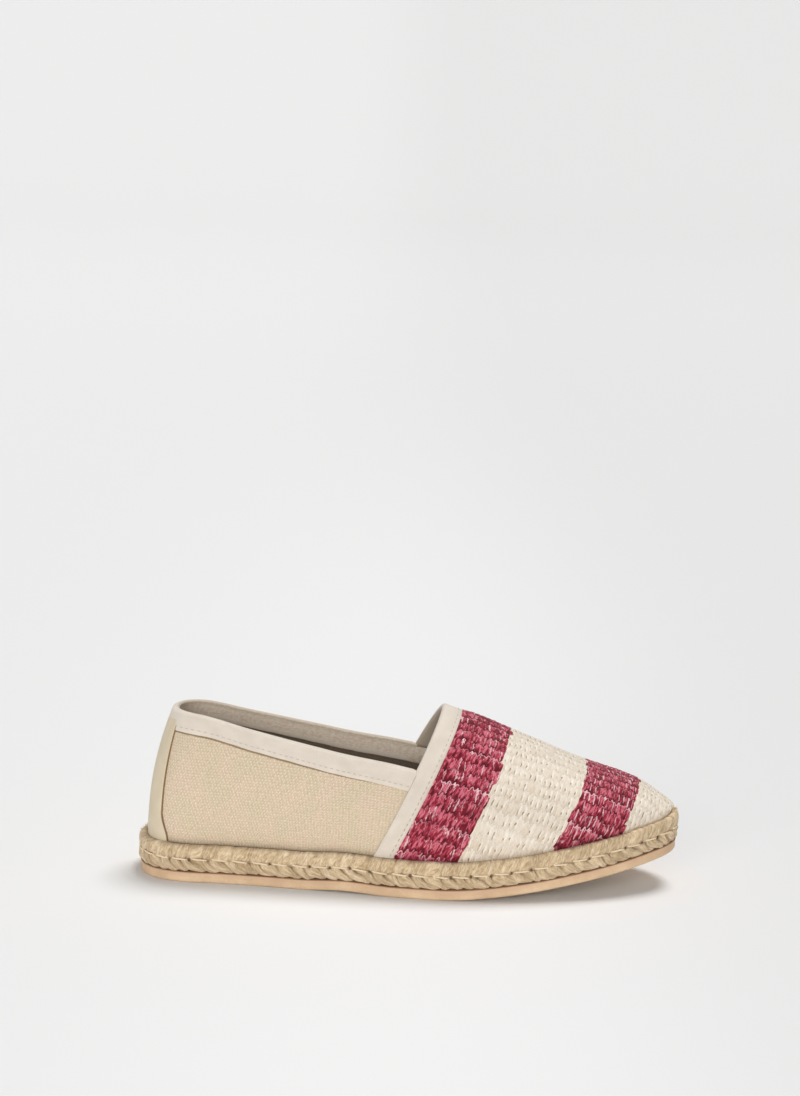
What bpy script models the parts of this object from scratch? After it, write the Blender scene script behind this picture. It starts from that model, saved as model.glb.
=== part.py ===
# Espadrille for the right foot: canvas quarters and a woven vamp on a plaited jute sole.
# X runs from the heel to the toe, Y to the inner side of the foot, Z up from the floor.
# The origin lies on the floor, in the middle of the sole's outline. All lengths are metres.
import math

import bpy
import numpy as np

# Sole
sole_length = 0.260
ball_width = 0.0902
rubber_thickness = 0.0050
rubber_inset = 0.0011
rubber_top_inset = 0.0009
rubber_edge = 0.0009
braid_thickness = 0.0128
braid_round = 0.0017
strand_pitch = 0.0064
strand_slant = 0.0052
strand_relief = 0.0006
toe_spring = 0.018
arch_rise = 0.0010
heel_flat_end = 0.30
ball_flat_start = 0.47
ball_flat_end = 0.55
spring_power = 1.6

# Upper
upper_inset = 0.0050
upper_wall = 0.0016
vamp_step = 0.0011
instep_height = 0.0652
heel_height = 0.0604
throat_height = 0.0396
throat_station = 0.4335
throat_tilt = math.radians(25.9)
tilt_start = 0.15
heel_axis = 0.135
lean_power = 1.5

# Overlays and insole
tape_width = 0.0084
collar_tape_width = 0.0080
tape_thickness = 0.0009
inner_tape_width = 0.0085
backstay_thickness = 0.0008
backstay_reach = 0.034
insole_thickness = 0.0020
insole_clearance = 0.0006
insole_toe_room = 0.0075
insole_toe_start = 0.75
fit_gap = 0.0003

# Counts of facets, and of steps along each side of the outline
outline_steps = 721
columns_outsole = 48
columns_insole = 32
ribs_quarter = 19
ribs_vamp = 18
ribs_backstay = 13
rows_side = 7
rows_crown = 8

# Outline of the sole. Station: share of sole_length from the heel.
# Centre and half width: shares of ball_width, before the ends are rounded.
outline_columns = ("station", "centre", "half_width")
outline_rows = (
    (0.00, 0.000, 0.334),
    (0.15, -0.001, 0.334),
    (0.30, -0.038, 0.360),
    (0.40, -0.074, 0.382),
    (0.50, -0.085, 0.423),
    (0.60, -0.061, 0.473),
    (0.65, -0.030, 0.491),
    (0.70, 0.003, 0.500),
    (0.75, 0.031, 0.494),
    (0.80, 0.054, 0.471),
    (0.85, 0.068, 0.442),
    (0.90, 0.073, 0.412),
    (0.95, 0.065, 0.377),
    (1.00, 0.045, 0.366),
)
heel_rounding = 0.125
heel_exponent = 2.3
toe_rounding = 0.20
toe_exponent = 2.2

# Sections of the upper, one row for each rib. Station: share of sole_length at the rib's foot.
# Rise: height of the last's spine over the foot, share of instep_height.
# Shoulder and crown: exponents of the section's curve. Belly: outward swell, share of half width.
# Spine: side position of the spine, share of ball_width.
# Collar: share of the way from throat_height up to heel_height.
# Inner: how much higher the edge is on the inner side, share of throat_height.
upper_columns = ("station", "rise", "shoulder", "crown", "belly", "spine", "collar", "inner")
upper_rows = (
    (0.00, 1.500, 2.2, 1.00, 0.00, 0.000, 1.000, 0.000),
    (0.06, 1.480, 2.2, 1.05, 0.05, 0.000, 0.985, 0.000),
    (0.13, 1.450, 2.2, 1.15, 0.11, -0.002, 0.920, 0.000),
    (0.20, 1.380, 2.4, 1.28, 0.14, -0.010, 0.695, 0.008),
    (0.28, 1.250, 2.6, 1.50, 0.16, -0.020, 0.414, 0.014),
    (0.37, 1.090, 2.8, 1.70, 0.16, -0.028, 0.120, 0.010),
    (0.43, 1.005, 3.0, 1.80, 0.13, -0.029, 0.000, 0.012),
    (0.50, 0.936, 2.9, 1.85, 0.10, -0.022, 0.000, 0.014),
    (0.58, 0.822, 2.7, 1.90, 0.07, -0.006, 0.000, 0.014),
    (0.65, 0.708, 2.5, 2.00, 0.05, 0.012, 0.000, 0.014),
    (0.72, 0.584, 2.4, 2.00, 0.04, 0.030, 0.000, 0.014),
    (0.79, 0.465, 2.3, 2.10, 0.03, 0.047, 0.000, 0.014),
    (0.86, 0.348, 2.2, 2.10, 0.02, 0.060, 0.000, 0.014),
    (0.92, 0.228, 2.1, 2.15, 0.01, 0.064, 0.000, 0.014),
    (0.96, 0.127, 2.1, 2.20, 0.00, 0.060, 0.000, 0.014),
    (0.98, 0.081, 2.1, 2.20, 0.00, 0.053, 0.000, 0.014),
    (1.00, 0.036, 2.1, 2.20, 0.00, 0.045, 0.000, 0.000),
)

# Side of the plait, from its foot up. Columns: height, a share of braid_thickness,
# inset, of braid_round, slant, of strand_slant, and relief, of strand_relief.
braid_rows = (
    (0.00, 1.00, 1.00, 0.0),
    (0.09, 0.30, 0.85, 1.0),
    (0.25, 0.00, 0.50, 1.0),
    (0.40, 0.30, 0.15, 1.0),
    (0.476, 0.80, 0.00, 0.2),
    (0.56, 0.30, 0.15, 1.0),
    (0.74, 0.00, 0.50, 1.0),
    (0.91, 0.35, 0.85, 1.0),
    (1.00, 1.10, 1.00, 0.0),
)

stack_height = rubber_thickness + fit_gap + braid_thickness
foot_height = stack_height + fit_gap
tape_span = tape_width / (sole_length * math.cos(throat_tilt))
inner_tape_span = inner_tape_width / (sole_length * math.cos(throat_tilt))


def clear_scene():
    for item in list(bpy.data.objects):
        bpy.data.objects.remove(item, do_unlink=True)


def column(names, rows, name, station):
    """A table's column as a smooth curve: cubics with the slope of each row's two neighbours."""
    knots = np.array([row[0] for row in rows])
    values = np.array([row[names.index(name)] for row in rows])
    slopes = np.gradient(values, knots)
    station = np.clip(np.asarray(station, dtype=float), knots[0], knots[-1])
    index = np.clip(np.searchsorted(knots, station, side="right") - 1, 0, len(knots) - 2)
    span = knots[index + 1] - knots[index]
    part = (station - knots[index]) / span
    start = (2 * part ** 3 - 3 * part ** 2 + 1) * values[index]
    start = start + (part ** 3 - 2 * part ** 2 + part) * span * slopes[index]
    end = (3 * part ** 2 - 2 * part ** 3) * values[index + 1]
    end = end + (part ** 3 - part ** 2) * span * slopes[index + 1]
    return start + end


def outline_column(name, station):
    return column(outline_columns, outline_rows, name, station)


def upper_column(name, station):
    return column(upper_columns, upper_rows, name, station)


def ease(part):
    part = np.clip(part, 0.0, 1.0)
    return part * part * (3.0 - 2.0 * part)


def end_rounding(station):
    heel = np.clip(1.0 - station / heel_rounding, 0.0, 1.0)
    toe = np.clip((station - 1.0 + toe_rounding) / toe_rounding, 0.0, 1.0)
    heel_share = (1.0 - heel ** heel_exponent) ** (1.0 / heel_exponent)
    toe_share = (1.0 - toe ** toe_exponent) ** (1.0 / toe_exponent)
    return heel_share * toe_share


def outline_side(side, turn):
    """The sole's edge on one side, with its outward direction. Turn runs from 0 to pi."""
    fine = np.linspace(0.0, math.pi, outline_steps)
    station = (1.0 - np.cos(fine)) / 2.0
    half = outline_column("half_width", station) * end_rounding(station)
    x = station * sole_length
    y = (outline_column("centre", station) + side * half) * ball_width
    along_x = np.gradient(x)
    along_y = np.gradient(y)
    length = np.hypot(along_x, along_y)
    out_x = -side * along_y / length
    out_y = side * along_x / length
    out_x[0], out_y[0] = -1.0, 0.0
    out_x[-1], out_y[-1] = 1.0, 0.0
    return [np.interp(turn, fine, row) for row in (x, y, out_x, out_y)]


def side_middle():
    """The y of the outline's middle, which the origin is set to."""
    fine = np.linspace(0.0, math.pi, outline_steps)
    inner = outline_side(1, fine)[1].max()
    outer = outline_side(-1, fine)[1].min()
    return (inner + outer) / 2.0


middle_y = side_middle()


def ground(x):
    """Height of the sole's underside: flat heel, low arch, flat ball, then the toe spring."""
    station = np.asarray(x) / sole_length
    arch = np.clip((station - heel_flat_end) / (ball_flat_start - heel_flat_end), 0.0, 1.0)
    spring = np.clip((station - ball_flat_end) / (1.0 - ball_flat_end), 0.0, 1.0)
    return arch_rise * np.sin(math.pi * arch) ** 2 + toe_spring * spring ** spring_power


def placed(x, y, z):
    return np.stack([x - sole_length / 2.0, y - middle_y, z], axis=-1)


def make_loop():
    """The whole edge, outer side out to the toe and inner side back, even along each side."""
    turn = np.linspace(0.0, math.pi, outline_steps)
    rows = []
    for side in (-1, 1):
        part = outline_side(side, turn)
        steps = np.hypot(np.diff(part[0]), np.diff(part[1]))
        share = np.concatenate([[0.0], np.cumsum(steps)])
        rows.append((share / share[-1], part, share[-1]))
    place = np.concatenate([rows[0][0], 2.0 - rows[1][0][::-1][1:]])
    values = [np.concatenate([a, b[::-1][1:]]) for a, b in zip(rows[0][1], rows[1][1])]
    return place, values, (rows[0][2] + rows[1][2]) / 2.0


loop_place, loop_values, side_length = make_loop()


def loop_ring(place, inset, height):
    """Points set in from the sole's edge, at a height over the sole's underside."""
    place = np.mod(place, 2.0)
    x, y, out_x, out_y = [np.interp(place, loop_place, row) for row in loop_values]
    x = x - out_x * inset
    y = y - out_y * inset
    return placed(x, y, ground(x) + height)


def make_material(name, colour, roughness):
    material = bpy.data.materials.new(name)
    material.use_nodes = True
    shader = material.node_tree.nodes["Principled BSDF"]
    shader.inputs["Base Color"].default_value = (*colour, 1.0)
    shader.inputs["Roughness"].default_value = roughness
    shader.inputs["Metallic"].default_value = 0.0
    material.diffuse_color = (*colour, 1.0)
    return material


def add_object(name, points, faces, material, collection, crease=40.0):
    mesh = bpy.data.meshes.new(name)
    mesh.from_pydata([tuple(point) for point in points], [], faces)
    mesh.validate()
    mesh.materials.append(material)
    mesh.shade_smooth()
    mesh.set_sharp_from_angle(angle=math.radians(crease))
    item = bpy.data.objects.new(name, mesh)
    collection.objects.link(item)
    return item


def ring_faces(count, rings):
    """Side faces between rings that are stacked upwards, each run round counterclockwise."""
    faces = []
    for level in range(rings - 1):
        for step in range(count):
            after = (step + 1) % count
            low = level * count
            high = low + count
            faces.append((low + step, low + after, high + after, high + step))
    return faces


def cap_faces(count, first, upward):
    """Strips across a ring, from each outer side point to the inner side point beside it."""
    half = count // 2
    faces = [(0, 1, count - 1)]
    for step in range(1, half - 1):
        faces.append((step, step + 1, count - step - 1, count - step))
    faces.append((half - 1, half, half + 1))
    if not upward:
        faces = [tuple(reversed(face)) for face in faces]
    return [tuple(first + index for index in face) for face in faces]


def stack_solid(name, rings, material, collection):
    """A solid from rings, foot to top, closed by strips across its first and last ring."""
    count = len(rings[0])
    faces = ring_faces(count, len(rings))
    faces += cap_faces(count, 0, False)
    faces += cap_faces(count, count * (len(rings) - 1), True)
    return add_object(name, np.concatenate(rings), faces, material, collection)


def make_outsole(material, collection):
    place = np.arange(2 * columns_outsole) / columns_outsole
    side_rows = (
        (0.0, rubber_inset + rubber_edge),
        (rubber_edge, rubber_inset),
        (rubber_thickness, rubber_top_inset),
    )
    rings = [loop_ring(place, inset, height) for height, inset in side_rows]
    return stack_solid("outsole", rings, material, collection)


def make_braid(material, collection):
    """Two plaited rows: strands lean one way above the groove and the other way below it."""
    strands = max(8, round(side_length / strand_pitch))
    place = np.arange(4 * strands) / (2.0 * strands)
    valley = np.arange(4 * strands) % 2
    rings = []
    for height, inset, slant, relief in braid_rows:
        shift = slant * strand_slant / side_length
        depth = inset * braid_round + relief * strand_relief * valley
        level = rubber_thickness + fit_gap + height * braid_thickness
        rings.append(loop_ring(place + shift, depth, level))
    return stack_solid("jute_sole", rings, material, collection)


def make_insole(material, collection):
    place = np.arange(2 * columns_insole) / columns_insole
    to_toe = 1.0 - np.abs(place - 1.0)
    inset = upper_inset + upper_wall + insole_clearance
    inset = inset + insole_toe_room * ease((to_toe - insole_toe_start) / (1.0 - insole_toe_start))
    low = loop_ring(place, inset, foot_height)
    high = loop_ring(place, inset, foot_height + insole_thickness)
    return stack_solid("insole", [low, high], material, collection)


def turn_at(station):
    return math.acos(1.0 - 2.0 * station)


def raised(height, offset):
    """A height with the offset added, fading to nothing where the height does."""
    return height + offset * height / (height + abs(offset) + 1e-9)


def row_height(station, side, row):
    """Height of a row up to the collar, or for the vamp to the same share of its rise."""
    rise = upper_column("rise", station) * instep_height
    extra = (side > 0) * upper_column("inner", station) * throat_height
    collar = throat_height + upper_column("collar", station) * (heel_height - throat_height)
    vamp = (throat_height + extra) * rise / (upper_column("rise", throat_station) * instep_height)
    return np.where(station < throat_station, collar + extra, vamp) * row


def upper_point(turn, side, row, offset, lift=0.0, back=0.0):
    """
    The upper's surface. Turn picks the rib, from the heel at 0 to the toe at pi.
    Row is 0 at the foot, 1 at the collar's level and 2 on the spine, and lift adds to its height.
    A rib starts on the sole's edge, set in, and closes on the spine: its half width is
    (1 - t^shoulder)^(1/crown) of the foot's, plus the belly, where t is the share of the rise.
    Offset moves the surface out, and back moves a point behind the rib's tilted plane.
    """
    turn, row = np.broadcast_arrays(np.asarray(turn, float), np.asarray(row, float))
    station = (1.0 - np.cos(turn)) / 2.0
    x, y, out_x, out_y = outline_side(side, turn)
    across_x, across_out = outline_side(-side, turn)[0:3:2]
    foot_x = x - out_x * (upper_inset - offset)
    foot_y = y - out_y * (upper_inset - offset)
    axis_x = np.maximum(foot_x, heel_axis * sole_length)
    across_axis = np.maximum(across_x - across_out * (upper_inset - offset), heel_axis * sole_length)
    axis_y = outline_column("centre", axis_x / sole_length) * ball_width
    rise = raised(upper_column("rise", station) * instep_height, offset)
    shoulder = upper_column("shoulder", station)
    crown = upper_column("crown", station)
    side_rise = row_height(station, side, np.minimum(row, 1.0)) + lift
    share = np.clip(side_rise / np.maximum(rise, 1e-6), 0.0, 1.0)
    angle = np.arcsin(share ** (shoulder / 2.0))
    angle = angle + (math.pi / 2.0 - angle) * np.clip(row - 1.0, 0.0, 1.0)
    share = np.sin(angle) ** (2.0 / shoulder)
    width = np.clip(np.cos(angle), 0.0, 1.0) ** (2.0 / crown)
    width = width + upper_column("belly", station) * 4.0 * share * (1.0 - share)
    height = share * rise
    spine_y = upper_column("spine", station) * ball_width
    lean_y = (spine_y - axis_y) * share ** lean_power
    meet_x = (across_axis - axis_x) / 2.0 * share ** lean_power
    tilt_share = ease((station - tilt_start) / (throat_station - tilt_start))
    lean_x = math.tan(throat_tilt) * tilt_share * height
    point_x = axis_x + meet_x + lean_x + (foot_x - axis_x) * width
    point_y = axis_y + lean_y + (foot_y - axis_y) * width
    point_z = ground(foot_x + meet_x) + foot_height + height
    point_x = point_x - back * math.cos(throat_tilt)
    point_z = point_z + back * math.sin(throat_tilt)
    return placed(point_x, point_y, point_z)


def grid_faces(rows, columns, first=0):
    """Faces of a grid whose points are stored row by row, columns of them in each."""
    faces = []
    for row in range(rows - 1):
        for step in range(columns - 1):
            low = first + row * columns + step
            high = low + columns
            faces.append((low, low + 1, high + 1, high))
    return faces


def shell_solid(name, outer, inner, faces, material, collection, crease=40.0):
    """A closed wall between two like surfaces, whose points are welded where the outer's meet."""
    keys = np.round(outer / 1e-7).astype(np.int64)
    first, index = np.unique(keys, axis=0, return_index=True, return_inverse=True)[1:]
    index = index.reshape(-1)
    outer = outer[first]
    inner = inner[first]
    count = len(outer)
    skin = []
    for face in faces:
        corners = [int(index[corner]) for corner in face]
        kept = [c for place, c in enumerate(corners) if c != corners[place - 1]]
        if len(set(kept)) > 2:
            skin.append(tuple(kept))
    edges = {}
    for face in skin:
        for place, corner in enumerate(face):
            edges[(face[place - 1], corner)] = True
    wall = [tuple(corner + count for corner in reversed(face)) for face in skin]
    for start, end in edges:
        if (end, start) not in edges:
            wall.append((end, start, start + count, end + count))
    return add_object(name, np.concatenate([outer, inner]), skin + wall, material, collection, crease)


def quarter_ribs():
    """Turn and side of each quarter rib, from the throat round the heel to the throat."""
    turns = np.linspace(0.0, turn_at(throat_station), ribs_quarter + 1)
    turns = np.concatenate([turns[::-1], turns[1:]])
    sides = np.concatenate([-np.ones(ribs_quarter + 1), np.ones(ribs_quarter)])
    return turns, sides


def across_rows():
    """Rows across the vamp: up the outer side, over the spine and down the inner side."""
    side = np.linspace(0.0, 1.0, rows_side + 1)
    crown = 1.0 + np.linspace(0.0, 1.0, rows_crown + 1)[1:]
    rows = np.concatenate([side, crown])
    sides = np.concatenate([-np.ones(len(rows)), np.ones(len(rows) - 1)])
    return np.concatenate([rows, rows[::-1][1:]]), sides


def sided_point(turn, sides, row, offset, lift=0.0, back=0.0):
    outer = upper_point(turn, -1, row, offset, lift, back)
    inner = upper_point(turn, 1, row, offset, lift, back)
    return np.where(np.asarray(sides)[..., None] < 0, outer, inner)


def make_upper(material, collection):
    """One hollow wall: quarters up to the collar, and a vamp that is thicker past its tape."""
    turns, sides = quarter_ribs()
    rows = np.linspace(0.0, 1.0, rows_side + 1)
    quarter = [sided_point(turns[:, None], sides[:, None], rows, offset).reshape(-1, 3)
               for offset in (0.0, -upper_wall)]
    faces = grid_faces(len(turns), len(rows))
    across, across_sides = across_rows()
    step = throat_station + tape_span
    front = np.linspace(turn_at(step + 2.0 * fit_gap / sole_length), math.pi, ribs_vamp + 1)
    ribs = np.concatenate([[turn_at(throat_station), turn_at(step + fit_gap / sole_length)], front])
    offsets = np.where(ribs < front[0], 0.0, vamp_step)
    vamp = [sided_point(ribs[:, None], across_sides, across, offset).reshape(-1, 3)
            for offset in (offsets[:, None], -upper_wall)]
    vamp_faces = grid_faces(len(ribs), len(across), len(quarter[0]))
    faces += [tuple(reversed(face)) for face in vamp_faces]
    outer = np.concatenate([quarter[0], vamp[0]])
    inner = np.concatenate([quarter[1], vamp[1]])
    return shell_solid("upper", outer, inner, faces, material, collection)


def make_collar_binding(material, collection):
    """Tape folded over the quarters' edge, from the vamp's tape round the heel to it again."""
    turns, sides = quarter_ribs()
    clear = (tape_thickness + 3.0 * fit_gap) / (sole_length * math.cos(throat_tilt))
    turns = np.minimum(turns, turn_at(throat_station - clear))
    fold = tape_thickness + fit_gap
    outside = fit_gap + tape_thickness
    inside = -upper_wall - outside
    outer_rows = (
        (outside, -collar_tape_width),
        (outside, -collar_tape_width / 2.0),
        (outside, 0.0),
        (outside - tape_thickness / 2.0, fold),
        (inside + tape_thickness / 2.0, fold),
        (inside, 0.0),
        (inside, -inner_tape_width),
    )
    inner_rows = (
        (fit_gap, -collar_tape_width),
        (fit_gap, -collar_tape_width / 2.0),
        (fit_gap, 0.0),
        (fit_gap, fit_gap),
        (-upper_wall - fit_gap, fit_gap),
        (-upper_wall - fit_gap, 0.0),
        (-upper_wall - fit_gap, -inner_tape_width),
    )
    skins = []
    for rows in (outer_rows, inner_rows):
        points = [sided_point(turns, sides, 1.0, offset, lift) for offset, lift in rows]
        skins.append(np.stack(points, axis=1).reshape(-1, 3))
    faces = grid_faces(len(turns), len(outer_rows))
    return shell_solid("collar_binding", skins[0], skins[1], faces, material, collection)


def make_vamp_binding(material, collection):
    """Tape folded over the vamp's free edge, with one leg running down both sides to the sole."""
    rows, sides = across_rows()
    free = row_height(throat_station, 1, 1.0)
    rise = upper_column("rise", throat_station) * instep_height
    above = 1.0 + 2.5 * fit_gap / (rise - free)
    low_rows = np.concatenate([rows[rows <= 1.0][:rows_side + 1], [above]])
    crown = rows[rows_side + 1:-rows_side - 1]
    rows = np.concatenate([low_rows, crown, low_rows[::-1]])
    sides = np.where(np.arange(len(rows)) <= len(rows) // 2, -1, 1)
    back_turn = turn_at(throat_station)
    front_turn = turn_at(throat_station + tape_span)
    tuck_turn = turn_at(throat_station + inner_tape_span)
    outside = fit_gap + tape_thickness
    inside = -upper_wall - outside
    leg_rows = ((front_turn, outside, fit_gap), (back_turn, outside, fit_gap))
    fold_rows = (
        (back_turn, outside, 0.0, fit_gap, 0.0),
        (back_turn, outside - tape_thickness / 2.0, outside, fit_gap, fit_gap),
        (back_turn, inside + tape_thickness / 2.0, outside, -upper_wall - fit_gap, fit_gap),
        (back_turn, inside, 0.0, -upper_wall - fit_gap, 0.0),
        (tuck_turn, inside, 0.0, -upper_wall - fit_gap, 0.0),
    )
    leg = [[sided_point(turn, sides, rows, offsets[level]) for turn, *offsets in leg_rows]
           for level in (0, 1)]
    first = len(low_rows) - 1
    free_rows = rows[first:len(rows) - first]
    free_sides = sides[first:len(rows) - first]
    fold = [[sided_point(row[0], free_sides, free_rows, row[1 + 2 * level], 0.0, row[2 + 2 * level])
             for row in fold_rows] for level in (0, 1)]
    skins = []
    for level in (0, 1):
        parts = [np.stack(leg[level], axis=1).reshape(-1, 3), np.stack(fold[level], axis=1).reshape(-1, 3)]
        skins.append(np.concatenate(parts))
    faces = grid_faces(len(rows), len(leg_rows))
    faces += grid_faces(len(free_rows), len(fold_rows), len(rows) * len(leg_rows))
    faces = [tuple(reversed(face)) for face in faces]
    return shell_solid("vamp_binding", skins[0], skins[1], faces, material, collection)


def make_backstay(material, collection):
    """A patch up the back of the heel, from the sole to the collar's tape."""
    turns = np.linspace(-turn_at(backstay_reach), turn_at(backstay_reach), ribs_backstay)
    sides = np.where(turns < 0.0, -1, 1)
    top = 1.0 - (collar_tape_width + 2.0 * fit_gap) / heel_height
    rows = np.linspace(0.0, top, rows_side + 1)
    skins = [sided_point(np.abs(turns)[:, None], sides[:, None], rows, offset).reshape(-1, 3)
             for offset in (fit_gap + backstay_thickness, fit_gap)]
    faces = grid_faces(len(turns), len(rows))
    return shell_solid("backstay", skins[0], skins[1], faces, material, collection)


def build():
    clear_scene()
    collection = bpy.data.collections.new("espadrille")
    bpy.context.scene.collection.children.link(collection)
    rubber = make_material("natural_rubber", (0.42, 0.30, 0.19), 0.5)
    jute = make_material("jute", (0.58, 0.42, 0.24), 0.95)
    canvas = make_material("canvas", (0.70, 0.58, 0.42), 0.9)
    tape = make_material("cotton_tape", (0.70, 0.62, 0.52), 0.85)
    twill = make_material("heel_twill", (0.62, 0.52, 0.38), 0.85)
    lining = make_material("lining", (0.45, 0.38, 0.30), 0.9)
    make_outsole(rubber, collection)
    make_braid(jute, collection)
    make_insole(lining, collection)
    make_upper(canvas, collection)
    make_collar_binding(tape, collection)
    make_vamp_binding(tape, collection)
    make_backstay(twill, collection)


build()
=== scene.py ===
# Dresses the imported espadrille: canvas quarters, a striped ribbon-weave vamp, taped edges, jute plait and a
# rubber sole.
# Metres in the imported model's frame: x from heel to toe, y to the foot's inner side, z up from the floor.
import math

import bpy
import numpy as np
from mathutils import Matrix, Vector


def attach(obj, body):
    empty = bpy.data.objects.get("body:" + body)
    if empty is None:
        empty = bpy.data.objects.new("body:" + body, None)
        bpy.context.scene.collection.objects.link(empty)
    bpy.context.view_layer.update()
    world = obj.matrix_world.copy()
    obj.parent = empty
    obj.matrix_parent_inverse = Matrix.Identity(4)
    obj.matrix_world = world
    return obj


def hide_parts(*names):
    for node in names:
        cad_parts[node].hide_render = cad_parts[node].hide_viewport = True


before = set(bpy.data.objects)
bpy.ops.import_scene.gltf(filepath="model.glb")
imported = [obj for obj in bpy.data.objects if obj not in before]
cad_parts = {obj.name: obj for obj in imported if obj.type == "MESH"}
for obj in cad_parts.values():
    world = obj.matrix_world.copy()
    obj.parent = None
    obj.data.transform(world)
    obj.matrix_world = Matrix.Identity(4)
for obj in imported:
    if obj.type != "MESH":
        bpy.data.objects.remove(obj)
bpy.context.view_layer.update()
print("frame:", ", ".join(sorted(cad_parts)))

mm = 0.001

# The last and the sole. Stations and shares are of the sole's length or the ball's width.
last = {
    "length": 0.260, "ball": 0.0902, "instep": 0.0652,
    "heelHeight": 0.0604, "throatHeight": 0.0396,
    "throat": 0.4335, "tilt": math.radians(25.9), "tiltStart": 0.15, "heelAxis": 0.135,
    "inset": 0.0050, "wall": 0.0016, "vampStep": 0.0011,
    "rubber": 0.0050, "plait": 0.0128, "gap": 0.0003,
    "toeSpring": 0.018, "archRise": 0.0010, "heelFlat": 0.30, "ballFlat": (0.47, 0.55), "springPower": 1.6,
    "heelRounding": (0.125, 2.3), "toeRounding": (0.20, 2.2),
}
outline = {
    "station": (0.00, 0.15, 0.30, 0.40, 0.50, 0.60, 0.65, 0.70, 0.75, 0.80, 0.85, 0.90, 0.95, 1.00),
    "centre": (0.000, -0.001, -0.038, -0.074, -0.085, -0.061, -0.030, 0.003, 0.031, 0.054, 0.068, 0.073, 0.065,
               0.045),
    "half": (0.334, 0.334, 0.360, 0.382, 0.423, 0.473, 0.491, 0.500, 0.494, 0.471, 0.442, 0.412, 0.377, 0.366),
}
ribs = {
    "station": (0.00, 0.06, 0.13, 0.20, 0.28, 0.37, 0.43, 0.50, 0.58, 0.65, 0.72, 0.79, 0.86, 0.92, 0.96, 0.98, 1.00),
    "rise": (1.500, 1.480, 1.450, 1.380, 1.250, 1.090, 1.005, 0.936, 0.822, 0.708, 0.584, 0.465, 0.348, 0.228, 0.127,
             0.081, 0.036),
    "shoulder": (2.2, 2.2, 2.2, 2.4, 2.6, 2.8, 3.0, 2.9, 2.7, 2.5, 2.4, 2.3, 2.2, 2.1, 2.1, 2.1, 2.1),
    "crown": (1.00, 1.05, 1.15, 1.28, 1.50, 1.70, 1.80, 1.85, 1.90, 2.00, 2.00, 2.10, 2.10, 2.15, 2.20, 2.20, 2.20),
    "belly": (0.00, 0.05, 0.11, 0.14, 0.16, 0.16, 0.13, 0.10, 0.07, 0.05, 0.04, 0.03, 0.02, 0.01, 0.00, 0.00, 0.00),
    "spine": (0.000, 0.000, -0.002, -0.010, -0.020, -0.028, -0.029, -0.022, -0.006, 0.012, 0.030, 0.047, 0.060, 0.064,
              0.060, 0.053, 0.045),
    "collar": (1.000, 0.985, 0.920, 0.695, 0.414, 0.120, 0.000, 0.0, 0.0, 0.0, 0.0, 0.0, 0.0, 0.0, 0.0, 0.0, 0.0),
    "inner": (0.000, 0.000, 0.000, 0.008, 0.014, 0.010, 0.012, 0.014, 0.014, 0.014, 0.014, 0.014, 0.014, 0.014, 0.014,
              0.014, 0.000),
}
footHeight = last["rubber"] + last["plait"] + 2.0 * last["gap"]


def curve(table, name, station):
    # cubic pieces through the rows, each row's slope taken from its two neighbours
    knots = np.array(table["station"])
    values = np.array(table[name])
    slopes = np.gradient(values, knots)
    station = np.clip(np.asarray(station, dtype=float), knots[0], knots[-1])
    index = np.clip(np.searchsorted(knots, station, side="right") - 1, 0, len(knots) - 2)
    span = knots[index + 1] - knots[index]
    t = (station - knots[index]) / span
    low = (2 * t ** 3 - 3 * t ** 2 + 1) * values[index] + (t ** 3 - 2 * t ** 2 + t) * span * slopes[index]
    return low + (3 * t ** 2 - 2 * t ** 3) * values[index + 1] + (t ** 3 - t ** 2) * span * slopes[index + 1]


def ease(t):
    t = np.clip(t, 0.0, 1.0)
    return t * t * (3.0 - 2.0 * t)


def scatter(number, seed=0.0):
    # an even spread between 0 and 1 that looks random: the fraction of a large sine
    value = np.sin(np.asarray(number, dtype=float) * 12.9898 + seed * 78.233) * 43758.5453
    return value - np.floor(value)


fineTurn = np.linspace(0.0, math.pi, 721)


def edgeRows(side):
    # the sole's edge on one side: centre line plus side times half width, both ends rounded as superellipses
    station = (1.0 - np.cos(fineTurn)) / 2.0
    heelSpan, heelPower = last["heelRounding"]
    toeSpan, toePower = last["toeRounding"]
    heel = np.clip(1.0 - station / heelSpan, 0.0, 1.0)
    toe = np.clip((station - 1.0 + toeSpan) / toeSpan, 0.0, 1.0)
    rounding = (1.0 - heel ** heelPower) ** (1.0 / heelPower) * (1.0 - toe ** toePower) ** (1.0 / toePower)
    x = station * last["length"]
    y = (curve(outline, "centre", station) + side * curve(outline, "half", station) * rounding) * last["ball"]
    alongX, alongY = np.gradient(x), np.gradient(y)
    size = np.hypot(alongX, alongY)
    outX, outY = -side * alongY / size, side * alongX / size
    outX[0], outY[0], outX[-1], outY[-1] = -1.0, 0.0, 1.0, 0.0
    return x, y, outX, outY


outerRows, innerRows = edgeRows(-1), edgeRows(1)
middleY = (innerRows[1].max() + outerRows[1].min()) / 2.0


def soleEdge(side, turn):
    outer = [np.interp(turn, fineTurn, row) for row in outerRows]
    inner = [np.interp(turn, fineTurn, row) for row in innerRows]
    return [np.where(np.asarray(side) < 0, a, b) for a, b in zip(outer, inner)]


def underside(x):
    # flat heel, low arch, flat ball, then the toe spring
    station = x / last["length"]
    start, end = last["ballFlat"]
    arch = np.clip((station - last["heelFlat"]) / (start - last["heelFlat"]), 0.0, 1.0)
    spring = np.clip((station - end) / (1.0 - end), 0.0, 1.0)
    return last["archRise"] * np.sin(math.pi * arch) ** 2 + last["toeSpring"] * spring ** last["springPower"]


def inFrame(x, y, z):
    return np.stack(np.broadcast_arrays(x - last["length"] / 2.0, y - middleY, z), axis=-1)


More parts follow.
